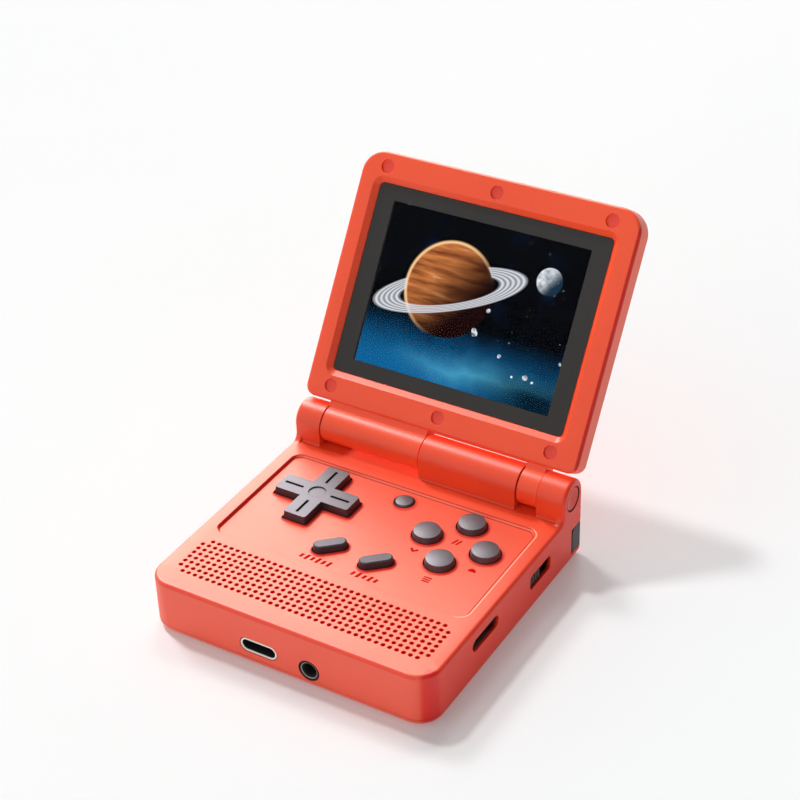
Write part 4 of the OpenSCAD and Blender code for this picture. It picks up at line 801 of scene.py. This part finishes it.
def floor():
    """A wide sheet of pale paper, a little darker towards the right."""
    me = bpy.data.meshes.new("floor")
    s = 6.0
    me.from_pydata([(-s, -s, 0), (s, -s, 0), (s, s, 0), (-s, s, 0)], [], [(0, 1, 2, 3)])
    t = Tree("floor_paper")
    across = t.line(t.xyz()[0], -0.06, 0.07, 0, 1)
    paper = t.mix(across, (0.812, 0.816, 0.812), (0.772, 0.785, 0.787))
    paper = t.mix(t.mul(t.line(t.noise(3.0), 0.3, 0.7, 0, 1), 0.5), paper, (0.79, 0.795, 0.795))
    t.shader(Base_Color=paper, Roughness=0.9, Specular_IOR_Level=0.0, Emission_Color=paper,
             Emission_Strength=PAPER_GLOW)
    o = new_object(me, t.mat)
    return o


ground = floor()


def room():
    """Soft light, stronger from the front and the left; the pale background dims to the right."""
    world = bpy.data.worlds.new("soft_room")
    bpy.context.scene.world = world
    world.use_nodes = True
    nt = world.node_tree
    nt.nodes.clear()
    out = nt.nodes.new("ShaderNodeOutputWorld")
    coord = nt.nodes.new("ShaderNodeTexCoord")
    sep = nt.nodes.new("ShaderNodeSeparateXYZ")
    nt.links.new(coord.outputs["Generated"], sep.inputs[0])

    def ramp(socket, a, b, c, d):
        n = nt.nodes.new("ShaderNodeMapRange")
        for k, v in (("From Min", a), ("From Max", b), ("To Min", c), ("To Max", d)):
            n.inputs[k].default_value = v
        nt.links.new(socket, n.inputs["Value"])
        return n.outputs[0]

    total = nt.nodes.new("ShaderNodeMath")
    sideways = ramp(sep.outputs[0], -1, 1, WORLD_LEVEL + GAIN_LEFT, WORLD_LEVEL - GAIN_LEFT)
    nt.links.new(sideways, total.inputs[0])
    nt.links.new(ramp(sep.outputs[1], -1, 0, GAIN_FRONT, 0.0), total.inputs[1])
    level = nt.nodes.new("ShaderNodeMath")
    level.operation = "MULTIPLY"
    nt.links.new(total.outputs[0], level.inputs[0])
    nt.links.new(ramp(sep.outputs[2], 0, 1, AT_HORIZON, OVERHEAD), level.inputs[1])
    light = nt.nodes.new("ShaderNodeBackground")
    nt.links.new(level.outputs[0], light.inputs["Strength"])
    light.inputs["Color"].default_value = (1, 1, 1, 1)
    pale = nt.nodes.new("ShaderNodeBackground")
    nt.links.new(ramp(sep.outputs[0], 0.05, 0.9, 1.0, 0.12), pale.inputs["Strength"])
    pale.inputs["Color"].default_value = (1, 1, 1, 1)
    mix = nt.nodes.new("ShaderNodeMixShader")
    nt.links.new(shown(nt), mix.inputs[0])
    nt.links.new(light.outputs[0], mix.inputs[1])
    nt.links.new(pale.outputs[0], mix.inputs[2])
    nt.links.new(mix.outputs[0], out.inputs[0])


room()


def lamp(name, kind, source, distance=2.0):
    """A lamp that shines from a direction towards the middle of the model."""
    o = bpy.data.objects.new(name, bpy.data.lights.new(name, kind))
    source = Vector(source).normalized()
    o.location = source * distance
    o.rotation_mode = "QUATERNION"
    o.rotation_quaternion = (-source).to_track_quat("-Z", "Y")
    bpy.context.scene.collection.objects.link(o)
    return o


def blockers(o, pieces):
    """Only these pieces stop this lamp's light, so that its shadow on the floor is theirs alone."""
    group = bpy.data.collections.new(o.name + "_blockers")
    for p in pieces:
        group.objects.link(p)
    o.light_linking.blocker_collection = group


def lights_only(o, pieces):
    """Only these pieces take this lamp's light."""
    group = bpy.data.collections.new(o.name + "_lit")
    for p in pieces:
        group.objects.link(p)
    o.light_linking.receiver_collection = group


def sun(name, way, energy, softness):
    """A sun of the given angle across, in degrees."""
    o = lamp(name, "SUN", way)
    o.data.energy = energy
    o.data.angle = math.radians(softness)
    return o


def soft_disc(name, way, energy, colour, pieces):
    """A broad disc that only adds gloss to these pieces, and isn't seen itself."""
    o = lamp(name, "AREA", way, 1.8)
    o.data.shape = "DISK"
    o.data.size = SHEEN_SIZE
    o.data.energy = energy
    o.data.color = colour
    lights_only(o, pieces)
    o.visible_diffuse = False
    o.visible_camera = False


lid_nodes = set(frame["record"]["behaviour"]["bodies"]["lid"])
low = [o for n, o in nodes.items() if n not in lid_nodes]
solid = [o for o in bpy.context.scene.objects if o.type == "MESH"]

sun("key", KEY_WAY, 0.90, 6)
second = sun("second", SECOND_WAY, 1.55, 8)
blockers(second, low)
lights_only(second, [o for o in solid if o is not ground])

# the paper has further suns of its own, so that its shadows are as firm and as soft as they should be
lights_only(sun("paper_key", KEY_WAY, 0.20, 6), [ground])
for extra in (sun("paper_second", SECOND_WAY, 1.00, 14), sun("paper_rear", (-0.25, 0.60, 1.0), 0.475, 16)):
    lights_only(extra, [ground])
    blockers(extra, low)

greys = [o for n, o in nodes.items() if slots[n] == "button"]
warm = [o for o in solid if o not in greys and o is not nodes["lid_back"]]
soft_disc("sheen", (-0.59, 0.63, 0.50), 50.0, (1.0, 0.93, 0.78), warm)
soft_disc("grey_sheen", (-0.62, 0.60, 0.51), 46.0, (1.0, 0.94, 1.0), greys)

# the camera, as solved from the photograph
cam = bpy.data.objects.new("camera", bpy.data.cameras.new("camera"))
right = Vector((0.85944809, 0.5104384, -0.02831297))
up = Vector((-0.26155148, 0.48662081, 0.83354125))
back = Vector((0.43924914, -0.70898013, 0.55173125))
cam.matrix_world = Matrix(((right.x, up.x, back.x, 0.214446), (right.y, up.y, back.y, -0.347248),
                           (right.z, up.z, back.z, 0.317586), (0, 0, 0, 1)))
cam.data.lens = 86.686
cam.data.sensor_width = 36.0
bpy.context.scene.collection.objects.link(cam)
bpy.context.scene.camera = cam
bpy.context.scene.view_settings.view_transform = "Standard"
